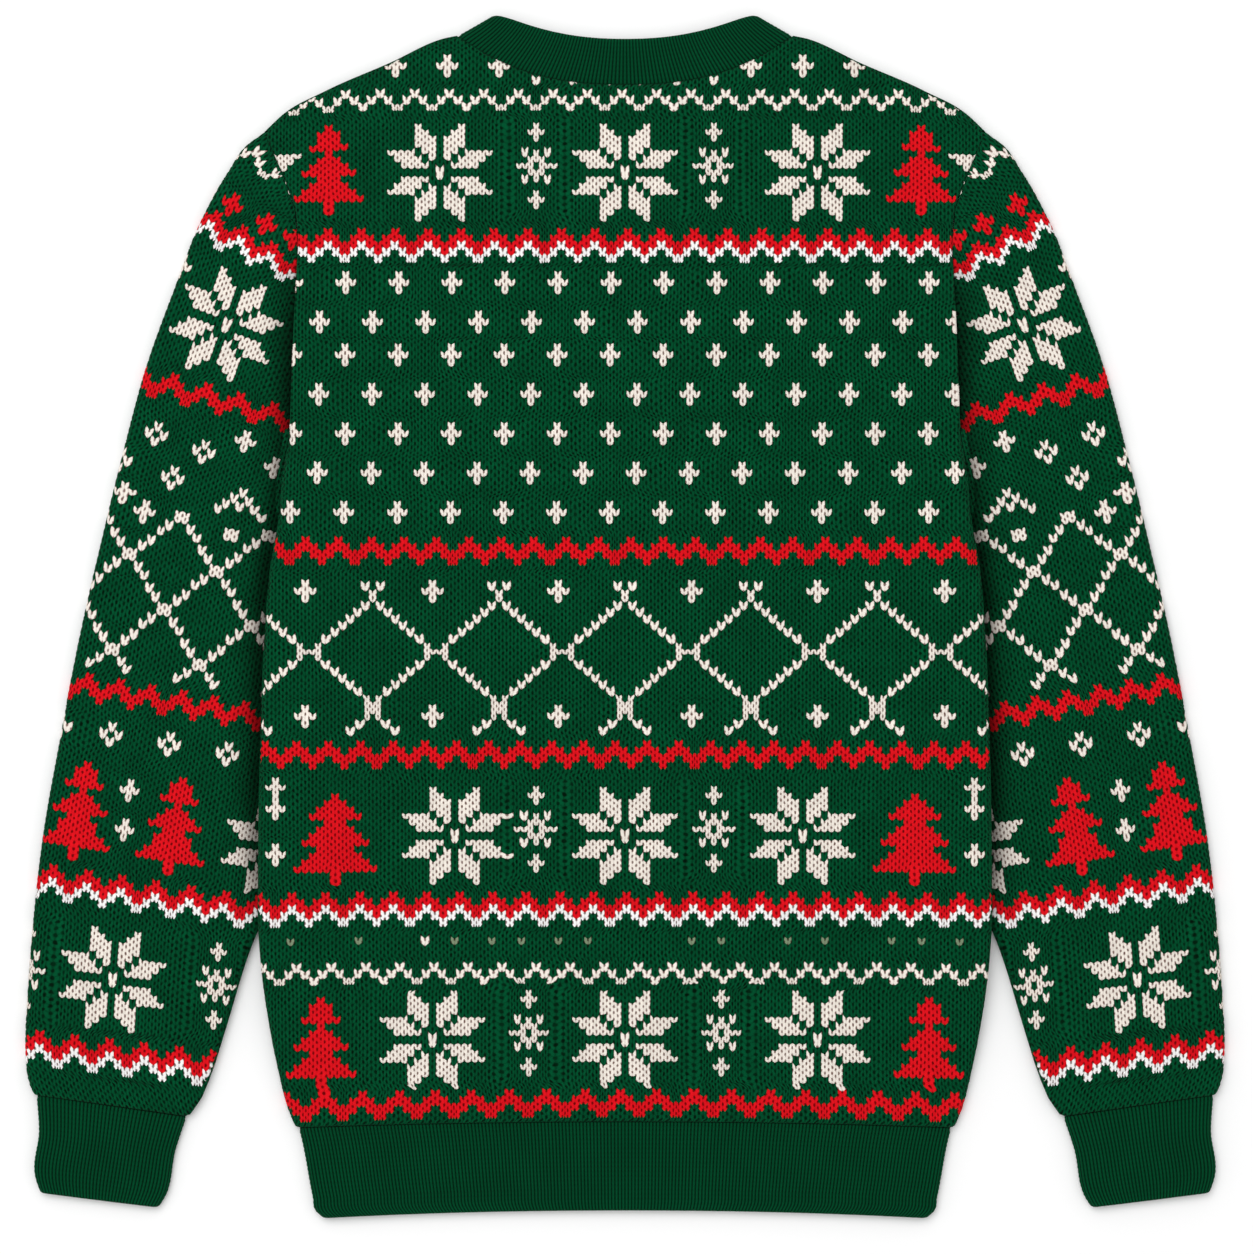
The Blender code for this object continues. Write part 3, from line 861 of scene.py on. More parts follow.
# ------------------------ meshes
def stitch_lattice(columns, rows):
    """Stitch coordinates, relief and leg triangles of a lattice, two legs to a stitch.

    Half columns run through each stitch's middle and between stitches. The middle line has a
    hole and a foot in every row, the line between has a hole and a leg's shoulder.
    """
    halves = np.arange(2 * columns[0] - 1, 2 * columns[1] + 2)
    half, row = np.meshgrid(halves, np.arange(rows[0], rows[1] + 1), indexing="ij")
    middle_line = (half % 2 == 0)[..., None]
    ups = np.where(middle_line, (HOLE_BELOW, 0.0), (SIDE_HOLE, SHOULDER_OF_LEG))
    ups = ups + row[..., None]
    leg_half, leg_row = half[:-1, :-1], row[:-1, :-1]
    places = pair(np.concatenate([np.repeat(half / 2, 2), (leg_half / 2 + 0.25).ravel()]),
                  np.concatenate([ups.ravel(), (leg_row + LEG_MIDDLE).ravel()]))
    relief = np.concatenate([np.tile((HOLE_RELIEF, 0.0), half.size),
                             np.full(leg_half.size, MIDDLE_RELIEF)])

    lines = np.arange(half.size * 2).reshape(*half.shape, 2)
    middle = half.size * 2 + np.arange(leg_half.size).reshape(*leg_half.shape, 1)
    on_left = middle_line[:-1]
    centre = np.where(on_left, lines[:-1], lines[1:])
    side = np.where(on_left, lines[1:], lines[:-1])
    ring = np.stack([centre[:, :-1, 0], side[:, :-1, 0], side[:, :-1, 1], side[:, 1:, 0],
                     centre[:, 1:, 0], centre[:, :-1, 1]], axis=-1)
    triangles = np.stack(np.broadcast_arrays(ring, np.roll(ring, -1, axis=-1), middle), axis=-1)
    triangles = np.where(on_left[:, :-1, None], triangles, triangles[..., ::-1])
    return places, relief, triangles, (leg_half + 1) // 2, leg_row


def boundary_loops(triangles):
    """The loops of open edges of a sheet, in order, the longest last."""
    edges = {tuple(edge) for turn in range(3)
             for edge in np.roll(triangles, turn, axis=1)[:, :2].tolist()}
    following = {}
    for first, second in sorted(edges):
        if (second, first) not in edges:
            following.setdefault(first, []).append(second)
    loops = []
    while following:
        loop = [min(following)]
        while True:
            after = following[loop[-1]].pop()
            if not following[loop[-1]]:
                del following[loop[-1]]
            if after == loop[0]:
                break
            loop.append(after)
        loops.append(loop)
    return sorted(loops, key=len)


def open_sides(triangles):
    """Which triangles have an open edge."""
    after = np.roll(triangles, -1, axis=1).astype(np.int64)
    size = int(triangles.max()) + 1
    return (~np.isin(after * size + triangles, triangles * size + after)).any(axis=1)


def island(triangles, kept, loop):
    """Kept triangles that hang together with a loop of vertices."""
    found = np.zeros(int(triangles.max()) + 1, bool)
    found[loop] = True
    size = 0
    while found.sum() > size:
        size = found.sum()
        near = found[triangles].any(axis=1) & kept
        found[triangles[near]] = True
    return near


def simple_sheet(triangles):
    """Which triangles make one sheet whose edge is a single loop that never meets itself."""
    kept = np.ones(len(triangles), bool)
    for _ in range(12):
        loops = boundary_loops(triangles[kept])
        corners, counts = np.unique(np.concatenate(loops), return_counts=True)
        pinched = corners[counts > 1]
        if len(pinched):
            edge = kept.copy()
            edge[kept] = open_sides(triangles[kept])
            kept &= ~(edge & np.isin(triangles, pinched).any(axis=1))
        elif len(loops) > 1:
            for loop in loops[:-1]:
                kept &= ~island(triangles, kept, loop)
        else:
            return kept
    raise RuntimeError("the knitted sheet's edge crosses itself")


def fill(polygons, points):
    """Triangles inside the first polygon and outside the second, with loose points between."""
    corners = np.concatenate([*polygons, points])
    starts = np.cumsum([0, *map(len, polygons)])
    loops = [list(range(low, high)) for low, high in zip(starts, starts[1:])]
    found = delaunay_2d_cdt([Vector(corner) for corner in corners], [], loops, 1, 1e-5)
    if len(found[0]) != len(corners):
        raise RuntimeError("an outline meets itself")
    number = np.array([sources[0] for sources in found[3]])
    return number[np.array([face for face, sources in zip(found[2], found[5])
                            if 0 in sources and 1 not in sources])]


def clearance(places, outline):
    """Distance of places from the nearest point of an outline."""
    tree = KDTree(len(outline))
    for index, corner in enumerate(outline):
        tree.insert((*corner, 0.0), index)
    tree.balance()
    return np.array([tree.find((*place, 0.0))[2] for place in places])


def spaced_points(form, outline, step):
    """Points on a grid inside an outline, clear of its edge."""
    low, high = outline.min(axis=0), outline.max(axis=0)
    grid = np.stack(np.meshgrid(np.arange(low[0], high[0], step), np.arange(low[1], high[1], step),
                                indexing="ij"), axis=-1).reshape(-1, 2)
    return grid[form.inside(grid) & (clearance(grid, outline) > step * 0.45)]


def swollen(places, triangles, yarn, centres, share):
    """Places with the edges of coloured stitches spread over the ground round them."""
    coloured = yarn != GROUND
    away = np.zeros_like(places)
    count = np.zeros(len(places))
    on_ground = np.zeros(len(places), bool)
    on_ground[triangles[~coloured]] = True
    for vertices in triangles[coloured].T:
        step = places[vertices] - centres[coloured]
        np.add.at(away, vertices, step * share[coloured])
        np.add.at(count, vertices, 1.0)
    spread = on_ground & (count > 0)
    moved = places.copy()
    moved[spread] += away[spread] / count[spread, None]
    return moved, count > 0


def clear_of(places, triangles, form, outline):
    """Triangles that lie inside an outline in one sheet."""
    usable = form.inside(places)
    usable[usable] = clearance(places[usable], outline) > 0.6 * EDGE_STEP
    kept = usable[triangles].all(axis=1)
    kept[kept] = simple_sheet(triangles[kept])
    return kept


def knitted_face(form, chart, outline):
    """The stitches that lie inside an outline: places, stitches, relief, triangles and yarns."""
    lattice, relief, triangles, column_of, row_of_leg = stitch_lattice(form.columns, form.rows)
    rng = np.random.default_rng(7)
    shaken = lattice + rng.normal(0.0, UNEVEN_PLACE, lattice.shape)
    relief = relief + rng.normal(0.0, UNEVEN_RELIEF, len(relief))
    places = form.cloth_place(eased_rows(shaken, form))
    at = column_of - chart.columns[0], np.maximum(row_of_leg, 0)
    above = at[0], np.maximum(row_of_leg + 1, 0)
    upper = np.isin(np.arange(6), (2, 3))
    lobes = (chart.lobed()[above] & (chart.yarns[at] == GROUND))[..., None] & upper
    yarn = np.where(lobes, chart.yarns[above][..., None], chart.yarns[at][..., None]).ravel()
    triangles = triangles.reshape(-1, 3)
    middles = pair(column_of.ravel(), row_of_leg.ravel() + STITCH_MIDDLE)
    middles = np.repeat(form.cloth_place(eased_rows(middles, form)), 6, axis=0)
    middles[:, 1] += lobes.ravel() * gauge()[1] / MM
    share = np.where((yarn == CREAM)[:, None], CREAM_SPREAD, SPREAD)
    share = np.where(np.repeat(chart.alone()[at].ravel(), 6)[:, None], LONE_SPREAD, share)
    places, raised = swollen(places, triangles, yarn, middles, share)
    relief = relief + COLOUR_RELIEF * raised
    kept = clear_of(places, triangles, form, outline)
    used, triangles = np.unique(triangles[kept], return_inverse=True)
    return places[used], lattice[used], relief[used], triangles.reshape(-1, 3), yarn[kept]


def knitted_sheet(form):
    """Points, triangles, stitch coordinates, yarns and painted shade of a closed wall on a form."""
    chart = Chart(form)
    outline = form.outline()
    places, stitches, relief, triangles, yarn = knitted_face(form, chart, outline)
    loop = boundary_loops(triangles)[-1]
    edge = np.arange(len(outline)) + len(places)
    strip = np.concatenate([edge, loop])[fill([outline, places[loop]], np.zeros((0, 2)))]
    places = np.concatenate([places, outline])
    stitches = np.concatenate([stitches, form.stitch_place(outline)])
    relief = np.concatenate([relief, np.full(len(outline), EDGE_RELIEF)])
    strip_yarn = chart.yarn_at(stitches[strip].mean(axis=1))
    base, facing = form.place(places)
    # painted shade where a sleeve goes under the body's edge
    shade = form.shade(base)
    relief = relief * (FOLD_RELIEF + (1.0 - FOLD_RELIEF) * np.abs(facing[:, 2]))
    outer = base + facing * (relief - form.tuck(places))[:, None]
    outer[:, 2] = np.maximum(outer[:, 2], FLOOR_CLEAR)

    loose = spaced_points(form, outline, LINING_STEP)
    lining = fill([outline], loose) + len(outer)
    lining_places = np.concatenate([outline, loose])
    base, facing = form.place(lining_places)
    inner = base - facing * KNIT_WALL
    inner[:, 2] = np.maximum(inner[:, 2], FLOOR_CLEAR + KNIT_WALL / 2)
    after = np.roll(edge, -1)
    below = np.arange(len(outline)) + len(outer)
    rim = np.concatenate([np.stack([after, edge, below], axis=1),
                          np.stack([after, below, np.roll(below, -1)], axis=1)])
    faces = np.concatenate([triangles, strip, rim, lining[:, ::-1]])
    stitches = np.concatenate([stitches, form.stitch_place(lining_places)])
    yarn = np.concatenate([yarn, strip_yarn, np.full(len(rim) + len(lining), GROUND)])
    shade = np.concatenate([shade, np.zeros(len(inner))])
    return (np.concatenate([outer, inner]), faces, stitches, yarn, shade,
            len(triangles) + len(strip))


Piece = namedtuple("Piece", "name replaces slot finish flat area rests_on")


def add_piece(piece, points, faces, layouts, marks):
    """Make a piece's mesh from arrays in millimetres, hang it on the root, and hide the part it
    replaces.
    """
    points = points - (0.0, LENGTH / 2, 0.0)
    points *= MM
    count, sides = faces.shape
    mesh = bpy.data.meshes.new(piece.name)
    mesh.vertices.add(len(points))
    mesh.vertices.foreach_set("co", points.ravel())
    mesh.loops.add(count * sides)
    mesh.loops.foreach_set("vertex_index", faces.ravel().astype(np.int32))
    mesh.polygons.add(count)
    mesh.polygons.foreach_set("loop_start", np.arange(0, count * sides, sides, dtype=np.int32))
    mesh.update(calc_edges=True)
    for name, values in layouts.items():
        layer = mesh.uv_layers.new(name=name)
        layer.uv.foreach_set("vector", values.astype(np.float32).ravel())
    for name, domain, values in marks:
        attribute = mesh.attributes.new(name, "FLOAT", domain)
        attribute.data.foreach_set("value", values.astype(np.float32))
    mesh.shade_smooth()
    mesh.materials.append(piece.finish)
    if mesh.validate():
        raise RuntimeError(f"{piece.name}: the mesh has faulty faces")
    made = bpy.data.objects.new(piece.name, mesh)
    bpy.context.scene.collection.objects.link(made)
    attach(made, "root")
    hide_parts(piece.replaces)


BAKE_STRIP = 0.12           # share of the flat layout below the outer face, for the inner face


def knit_piece(piece, form):
    """Make a knitted panel or sleeve."""
    points, faces, stitches, yarn, shade, outer_count = knitted_sheet(form)
    if form.hand < 0:
        faces = faces[:, ::-1]
    corners = (stitches * (gauge() / MM))[faces]
    low = corners.min(axis=(0, 1))
    share = (corners - low) / (corners.max(axis=(0, 1)) - low).max()
    bake = share * (1.0 - BAKE_STRIP) + (0.0, BAKE_STRIP)
    bake[outer_count:] = share[outer_count:] * BAKE_STRIP * 0.95
    # the Shade mark carries the painted shade beside the body's edge to the material
    add_piece(piece, points, faces, {"Stitches": stitches[faces], "OFBake": bake},
              [("Yarn", "FACE", yarn), ("Shade", "POINT", shade)])


# ------------------------ ribbing
TIP_ROUNDING = 0.13         # the tips of the neck rib are this share of its depth lower
TIP_LENGTH = 5.5
NECK_SEAM_GAP = SEAM_GAP * 1.4
RIB_SAMPLES = 4             # points across one rib
RIB_RELIEF = 0.55
BEAD_RELIEF = 0.12
BEAD_ROWS = 2               # rings to one row of the ribbing
RIB_TUCK = 0.7
RIB_TUCK_WIDTH = 2.5
ROLL_ANGLES = (35, 70, 110, 145, 180)       # the free edge rolls over inward by these degrees


def hem_lines(way):
    """Upper and lower line of the hem rib at a share of its depth below the seam."""
    height = HEM_RIB[0].height * (1.0 - way)
    half = read(HEM_RIB, "height", "half_width", height)
    bow = HEM_EDGE_BOW + (HEM_BOW - HEM_EDGE_BOW) * (1.0 - way)
    across = np.linspace(-1.0, 1.0, 81)
    line = pair(across * half, height + bow * (1.0 - across ** 2))
    return line, line


def cuff_lines(way):
    """Upper and lower line of the right cuff at a share of its depth below the seam."""
    depths = [0.0]
    for first, second in zip(CUFF, CUFF[1:]):
        depths.append(depths[-1] + (first.outer_height + first.inner_height
                                    - second.outer_height - second.inner_height) / 2)
    ends = [curve_through(way * depths[-1], depths, column(CUFF, name)) for name in Section._fields]
    line = np.linspace(ends[:2], ends[2:], 25)[::-1]
    return line, line


def neck_lines(way):
    """Back and front line of the neck rib at a share of its depth above the seam."""
    seam_share = NECK_SEAM_GAP / RIB_DEPTH
    share = seam_share + (1.0 - seam_share) * way
    half = NECK_HALF * np.sin(np.linspace(-QUARTER, QUARTER, 161))
    edge_half = half * RIB_PEAK_HALF / NECK_HALF
    rounded = TIP_ROUNDING * np.exp((np.abs(half) - NECK_HALF) / TIP_LENGTH)
    lines = []
    for seam_curve, edge_curve in ((back_neck, back_edge), (front_neck, front_edge)):
        seam = pair(half, seam_curve(half))
        edge = pair(edge_half, edge_curve(edge_half))
        lines.append(seam + (share - rounded * share ** 3)[:, None] * (edge - seam))
    return lines


def on_line(line, total, place):
    """Points on a line at lengths along it."""
    return pair(np.interp(place, total, line[:, 0]), np.interp(place, total, line[:, 1]))


def rib_ring(lines, count, radius):
    """Points and facings round a flattened tube, upper layer then lower, evenly by cloth."""
    points, facings = [], []
    quarter = math.pi * radius / 2
    for line, layer in zip(lines, (1.0, -1.0)):
        total = np.concatenate([[0.0], np.cumsum(np.hypot(*np.diff(line, axis=0).T))])
        cloth = total[-1] + 2 * (quarter - radius)
        place = np.arange(count) / count * cloth
        if layer < 0:
            place = cloth - place
        near = np.minimum(place, cloth - place)
        far_half = place > cloth / 2
        angle = np.clip(near / radius, 0.0, QUARTER)
        plan = radius * (1.0 - np.cos(angle)) + np.maximum(near - quarter, 0.0)
        plan = np.where(far_half, total[-1] - plan, plan)
        tangent = unit(on_line(line, total, plan + 0.5) - on_line(line, total, plan - 0.5))
        outward = np.where(far_half, 1.0, -1.0)[:, None] * tangent
        points.append(np.column_stack([on_line(line, total, plan),
                                       radius + layer * radius * np.sin(angle)]))
        facings.append(np.column_stack([outward * np.cos(angle)[:, None],
                                        layer * np.sin(angle)]))
    return np.concatenate(points), np.concatenate(facings)


def rib_piece(piece, lines_at, depth, laid, mirror=1.0, seam_low=False):
    """A band of fine ribbing round a flattened tube, with a soft folded free edge."""
    radius = laid / 2
    settings = bpy.context.scene.sweatshirt_gauge
    length = np.hypot(*np.diff(lines_at(0.5)[0], axis=0).T).sum()
    count = round(length / (settings.rib_pitch / MM)) * RIB_SAMPLES
    rings = round((depth - RIB_WALL / 2) / (settings.rib_row / MM / BEAD_ROWS))
    last = 1.0 - RIB_WALL / 2 / depth
    ridge = 0.5 + 0.5 * np.cos(np.arange(2 * count) * 2 * math.pi / RIB_SAMPLES)
    grid, marks = [], []
    for turn, way in enumerate(np.linspace(0.0, last, rings + 1)):
        end, facing = rib_ring(lines_at(way), count, radius)
        bead = BEAD_RELIEF * math.cos(math.pi * turn)
        tuck = RIB_TUCK * (1.0 - between(way * depth, 0.0, RIB_TUCK_WIDTH))
        fade = FOLD_RELIEF + (1.0 - FOLD_RELIEF) * between((last - way) * depth, -1.0, 5.0)
        relief = (RIB_RELIEF * (ridge - 1.0) + bead * ridge) * fade - tuck
        grid.append(end + facing * relief[:, None])
        marks.append(way * depth)
    onward = unit(end - rib_ring(lines_at(last - 0.02), count, radius)[0])
    for angle in np.radians(ROLL_ANGLES):
        roll = end + onward * RIB_WALL / 2 * math.sin(angle)
        roll = roll - facing * RIB_WALL / 2 * (1.0 - math.cos(angle))
        shallow = RIB_RELIEF * FOLD_RELIEF * (ridge - 1.0) * max(math.cos(angle), 0.0)
        grid.append(roll + facing * shallow[:, None])
        marks.append(marks[-1] + RIB_WALL / 2 * 0.6)
    for way in (last * 0.66, last * 0.33, 0.0):
        inside, facing = rib_ring(lines_at(way), count, radius)
        grid.append(inside - facing * RIB_WALL)
        marks.append(marks[-1] + depth / 3)
    points = np.concatenate(grid) * (mirror, 1.0, 1.0)
    points[:, 2] = np.maximum(points[:, 2], FLOOR_CLEAR)

    number = np.arange(len(points)).reshape(len(grid), -1)
    beside = np.roll(number, -1, axis=1)
    faces = np.stack([number, beside, np.roll(beside, -1, axis=0), np.roll(number, -1, axis=0)],
                     axis=-1).reshape(-1, 4)
    low = np.array(marks)[:, None]
    high = np.array([*marks[1:], marks[-1] + RIB_WALL])[:, None]
    turn = np.arange(2 * count)
    layout = np.stack([pair(turn, low), pair(turn + 1, low), pair(turn + 1, high),
                       pair(turn, high)], axis=2).reshape(-1, 4, 2)
    if (mirror > 0) != seam_low:
        faces = faces[:, ::-1]
        layout = layout[:, ::-1]
    flat = layout * (length / count, 1.0)
    add_piece(piece, points, faces, {"Ribs": layout / (RIB_SAMPLES, settings.rib_row / MM),
                                     "OFBake": flat / flat.max()}, [])


# ------------------------ materials
class Value:
    """A node's output, which can be used in sums."""

    def __init__(self, graph, socket):
        self.graph = graph
        self.socket = socket

    def __add__(self, other):
        return self.graph.math("ADD", self, other)

    def __radd__(self, other):
        return self.graph.math("ADD", other, self)

    def __sub__(self, other):
        return self.graph.math("SUBTRACT", self, other)

    def __rsub__(self, other):
        return self.graph.math("SUBTRACT", other, self)

    def __mul__(self, other):
        return self.graph.math("MULTIPLY", self, other)

    def __truediv__(self, other):
        return self.graph.math("DIVIDE", self, other)


class Graph:
    """Adds nodes to a material or a world and links them."""

    def __init__(self, owner):
        self.owner = owner
        owner.use_nodes = True
        self.tree = owner.node_tree
        self.tree.nodes.clear()

    def node(self, kind, settings=None, **inputs):
        """A node with its settings, and inputs by name, or by number as in i0."""
        made = self.tree.nodes.new(kind)
        for key, value in (settings or {}).items():
            setattr(made, key, value)
        for key, value in inputs.items():
            self.feed(made.inputs[int(key[1:])] if key[1:].isdigit()
                      else made.inputs[key.replace("_", " ")], value)
        return made

    def feed(self, socket, value):
        """Set a socket to a value, or link it to an output. A colour gets a full alpha."""
        if isinstance(value, Value):
            self.tree.links.new(value.socket, socket)
        elif socket.type == "RGBA":
            socket.default_value = (*value, 1.0)
        else:
            socket.default_value = value

    def value(self, kind, output=0, settings=None, **inputs):
        """One output of a new node."""
        return Value(self, self.node(kind, settings, **inputs).outputs[output])

    @cached_property
    def coordinates(self):
        """Places on the piece itself."""
        return self.value("ShaderNodeTexCoord", 3)

    def math(self, operation, *values):
        """What a sum of values comes to."""
        return self.value("ShaderNodeMath", 0, {"operation": operation},
                          **{f"i{turn}": value for turn, value in enumerate(values)})

    def zigzag(self, value):
        """Distance of a value from the nearest whole number."""
        return self.math("PINGPONG", value, 0.5)

    def vector(self, operation, *values):
        """What a sum of vectors comes to."""
        return self.value("ShaderNodeVectorMath", 0, {"operation": operation},
                          **{f"i{turn}": value for turn, value in enumerate(values)})

    def ramp(self, value, low, high, start=0.0, stop=1.0):
        """A value carried smoothly from one range to another."""
        return self.value("ShaderNodeMapRange", 0, {"interpolation_type": "SMOOTHSTEP"}, i0=value,
                          i1=low, i2=high, i3=start, i4=stop)

    def noise(self, scale, detail, roughness=0.5, output=0):
        """Cloudy noise that is fixed to the piece."""
        return self.value("ShaderNodeTexNoise", output, Scale=scale, Detail=detail,
                          Roughness=roughness, Vector=self.coordinates)

    def attribute(self, name):
        """A number that the mesh carries."""
        return self.value("ShaderNodeAttribute", 2, {"attribute_name": name})

    def layout(self, name):
        """Coordinates of one of the mesh's layouts."""
        return self.value("ShaderNodeUVMap", 0, {"uv_map": name})

    def split(self, vector):
        """The first two numbers of a vector."""
        made = self.node("ShaderNodeSeparateXYZ", Vector=vector)
        return [Value(self, output) for output in made.outputs[:2]]

    def radius(self, across, up):
        """Distance from the origin of two values."""
        place = self.value("ShaderNodeCombineXYZ", X=across, Y=up)
        return self.value("ShaderNodeVectorMath", 1, {"operation": "LENGTH"}, i0=place)

    def product(self, first, second):
        """Two colours multiplied."""
        return self.value("ShaderNodeMix", 2, {"data_type": "RGBA", "blend_type": "MULTIPLY"},
                          i0=1.0, i6=first, i7=second)

    def tinted(self, colour, grey):
        """A colour times a grey value."""
        return self.product(colour, self.value("ShaderNodeCombineColor", Red=grey, Green=grey,
                                               Blue=grey))

    def mixed(self, factor, first, second):
        """Two colours mixed."""
        return self.value("ShaderNodeMix", 2, {"data_type": "RGBA"}, i0=factor, i6=first,
                          i7=second)

    def surface(self, colour, roughness, height, distance):
        """The material, with its bump and a faint sheen."""
        bump = self.value("ShaderNodeBump", Strength=1.0, Distance=distance, Height=height)
        shader = self.value("ShaderNodeBsdfPrincipled", Base_Color=colour, Roughness=roughness,
                            Normal=bump, Specular_IOR_Level=0.03, Sheen_Weight=0.02,
                            Sheen_Roughness=0.5)
        self.node("ShaderNodeOutputMaterial", Surface=shader)
        return self.owner


def stranded_knit(yarns):
    """Patterned stocking stitch: two plump legs to a stitch, with painted shade in the small dark
    gaps between.
    """
    g = Graph(bpy.data.materials.new("Stranded knit"))
    wander = g.vector("SUBTRACT", g.noise(420.0, 2.0, output=1), (0.5, 0.5, 0.5))
    place = g.vector("ADD", g.layout("Stitches"), g.vector("MULTIPLY", wander, (0.22, 0.45, 0.0)))
    across, up = g.split(place)
    aside = g.zigzag(across)
    to_side = 0.5 - aside
    yarn = g.attribute("Yarn")
    coloured = g.ramp(yarn, 0.3, 0.7)
    wide = 0.17 - coloured * 0.03
    high = wide * 1.95
    # painted shade: holes between the legs, slits along them and creases between the rows are
    # darkened in colour, less for coloured yarns and patchily on the ground
    centre_hole = g.radius(aside / wide, g.zigzag(up - 0.61) / high)
    side_hole = g.radius(to_side / wide, g.zigzag(up - 0.16) / high)
    hole = g.ramp(g.math("MINIMUM", centre_hole, side_hole), 0.55, 1.35, 1.0, 0.0)
    crease = g.ramp(g.zigzag(up - aside + 0.35), 0.0, 0.17, 1.0, 0.0)
    slit = g.ramp(g.math("MINIMUM", aside, to_side), 0.0, 0.13, 1.0, 0.0)
    shade = g.math("MAXIMUM", crease * 0.28, slit * 0.42) * (1.25 - coloured * 0.8)
    patchy = g.ramp(g.noise(150.0, 1.0), 0.3, 0.7, 0.78, 1.0)
    gap = g.math("MAXIMUM", hole, shade) * g.math("MAXIMUM", patchy, coloured * 0.9)

    fuzz = g.noise(1700.0, 2.0, 0.6)
    leg = g.vector("FLOOR", g.vector("MULTIPLY", place, (2.0, 1.0, 1.0)))
    chance = g.value("ShaderNodeTexWhiteNoise", Vector=leg)
    ply = g.math("SINE", (aside * 2.2 + up) * 21.0)
    cloud = (g.noise(75.0, 3.0, 0.6) - 0.5) * (0.85 - coloured * 0.62)
    tone = cloud + 0.25 + chance * 0.1 + fuzz * 0.14 + ply * 0.03 + 0.72
    # painted shade: a sleeve's colour is darkened where it goes under the body's edge
    light = 1.0 - g.attribute("Shade") * 0.72

    ramp = g.node("ShaderNodeValToRGB", Fac=(yarn + 0.5) / 5.0)
    ramp.color_ramp.interpolation = "CONSTANT"
    colours = [yarns.ground, yarns.cream, yarns.red, yarns.white, yarns.faint]
    while len(ramp.color_ramp.elements) < len(colours):
        ramp.color_ramp.elements.new(1.0)
    for index, (element, colour) in enumerate(zip(ramp.color_ramp.elements, colours)):
        element.position = index / len(colours)
        element.color = (*colour, 1.0)
    plain = Value(g, ramp.outputs[0])
    # the gaps take the yarn's colour times the painted gap shade
    colour = g.mixed(gap, g.tinted(plain, tone), g.product(plain, yarns.gap_shade_tint))
    return g.surface(g.tinted(colour, light), 0.82 + fuzz * 0.15,
                     ply * 0.12 + fuzz * 0.35 - gap * 0.9, 0.00035)


def fine_rib(yarns):
    """One-by-one ribbing: narrow upright ribs and small beads along them, with painted shade in the
    dark furrows and between the beads.
    """
    g = Graph(bpy.data.materials.new("Fine rib"))
    across, up = g.split(g.layout("Ribs"))
    aside = g.zigzag(across)
    furrow = g.ramp(aside, 0.16, 0.48)
    bead_line = g.ramp(g.zigzag(up + aside), 0.0, 0.2, 1.0, 0.0)
    fuzz = g.noise(2000.0, 2.0, 0.6)
    tone = g.noise(45.0, 3.0, 0.55) * 0.36 + fuzz * 0.14 + 0.75
    # painted shade in the furrows between ribs and between the beads
    shade = furrow * 0.9 + bead_line * 0.2
    colour = g.mixed(shade, g.tinted(yarns.rib, tone), g.tinted(yarns.rib, 0.12))
    return g.surface(colour, 0.84 + fuzz * 0.12, fuzz * 0.3 - shade * 0.8, 0.0003)


def floor_finish(stage):
    """Matt pale paper with a very fine grain, which keeps the garment's shadow."""
    g = Graph(bpy.data.materials.new("Pale floor"))
    colour = g.tinted(stage.floor_colour, 0.985 + g.noise(900.0, 2.0) * 0.015)
    shader = g.value("ShaderNodeBsdfDiffuse", Color=colour, Roughness=0.9)
    g.node("ShaderNodeOutputMaterial", Surface=shader)
    return g.owner


# ------------------------ settings
class SweatshirtGauge(bpy.types.PropertyGroup):
    """Sizes of the knitting."""

    stitch_width: bpy.props.FloatProperty(
        name="Stitch width", description="Width of one stitch of the patterned knit",
        default=0.0044, min=0.002, max=0.02, precision=5, unit="LENGTH")
    row_height: bpy.props.FloatProperty(
        name="Row height", description="Height of one row of the patterned knit",
        default=0.003903, min=0.002, max=0.02, precision=5, unit="LENGTH")
    rib_pitch: bpy.props.FloatProperty(
        name="Rib pitch", description="Distance from one rib to the next",
        default=0.002, min=0.001, max=0.01, precision=5, unit="LENGTH")
    rib_row: bpy.props.FloatProperty(
        name="Rib row", description="Height of one row of the ribbing",
        default=0.0028, min=0.001, max=0.01, precision=5, unit="LENGTH")


class SweatshirtYarns(bpy.types.PropertyGroup):
    """Colours of the yarns."""

    ground: bpy.props.FloatVectorProperty(
        name="Ground", description="Green yarn of the ground", subtype="COLOR",
        default=(0.0, 0.068, 0.0225), min=0.0, max=1.0)
    cream: bpy.props.FloatVectorProperty(
        name="Cream", description="Cream yarn of stars, dots and lines", subtype="COLOR",
        default=(0.845, 0.78, 0.70), min=0.0, max=1.0)
    white: bpy.props.FloatVectorProperty(
        name="White", description="White yarn under the red zigzags", subtype="COLOR",
        default=(0.88, 0.87, 0.86), min=0.0, max=1.0)
    red: bpy.props.FloatVectorProperty(
        name="Red", description="Red yarn of trees and zigzags", subtype="COLOR",
        default=(0.70, 0.006, 0.012), min=0.0, max=1.0)
    faint: bpy.props.FloatVectorProperty(
        name="Sunk cream", description="Cream stitches half sunk in the ground", subtype="COLOR",
        default=(0.2, 0.26, 0.16), min=0.0, max=1.0)
    rib: bpy.props.FloatVectorProperty(
        name="Rib", description="Green yarn of the ribbing", subtype="COLOR",
        default=(0.0, 0.06, 0.02), min=0.0, max=1.0)
    # painted shade: the yarn's colour is multiplied by this in the gaps between stitches
    gap_shade_tint: bpy.props.FloatVectorProperty(
        name="Gap shade", description="What is left of a yarn's colour in the gaps",
        subtype="COLOR", default=(0.2, 0.11, 0.1), min=0.0, max=1.0)


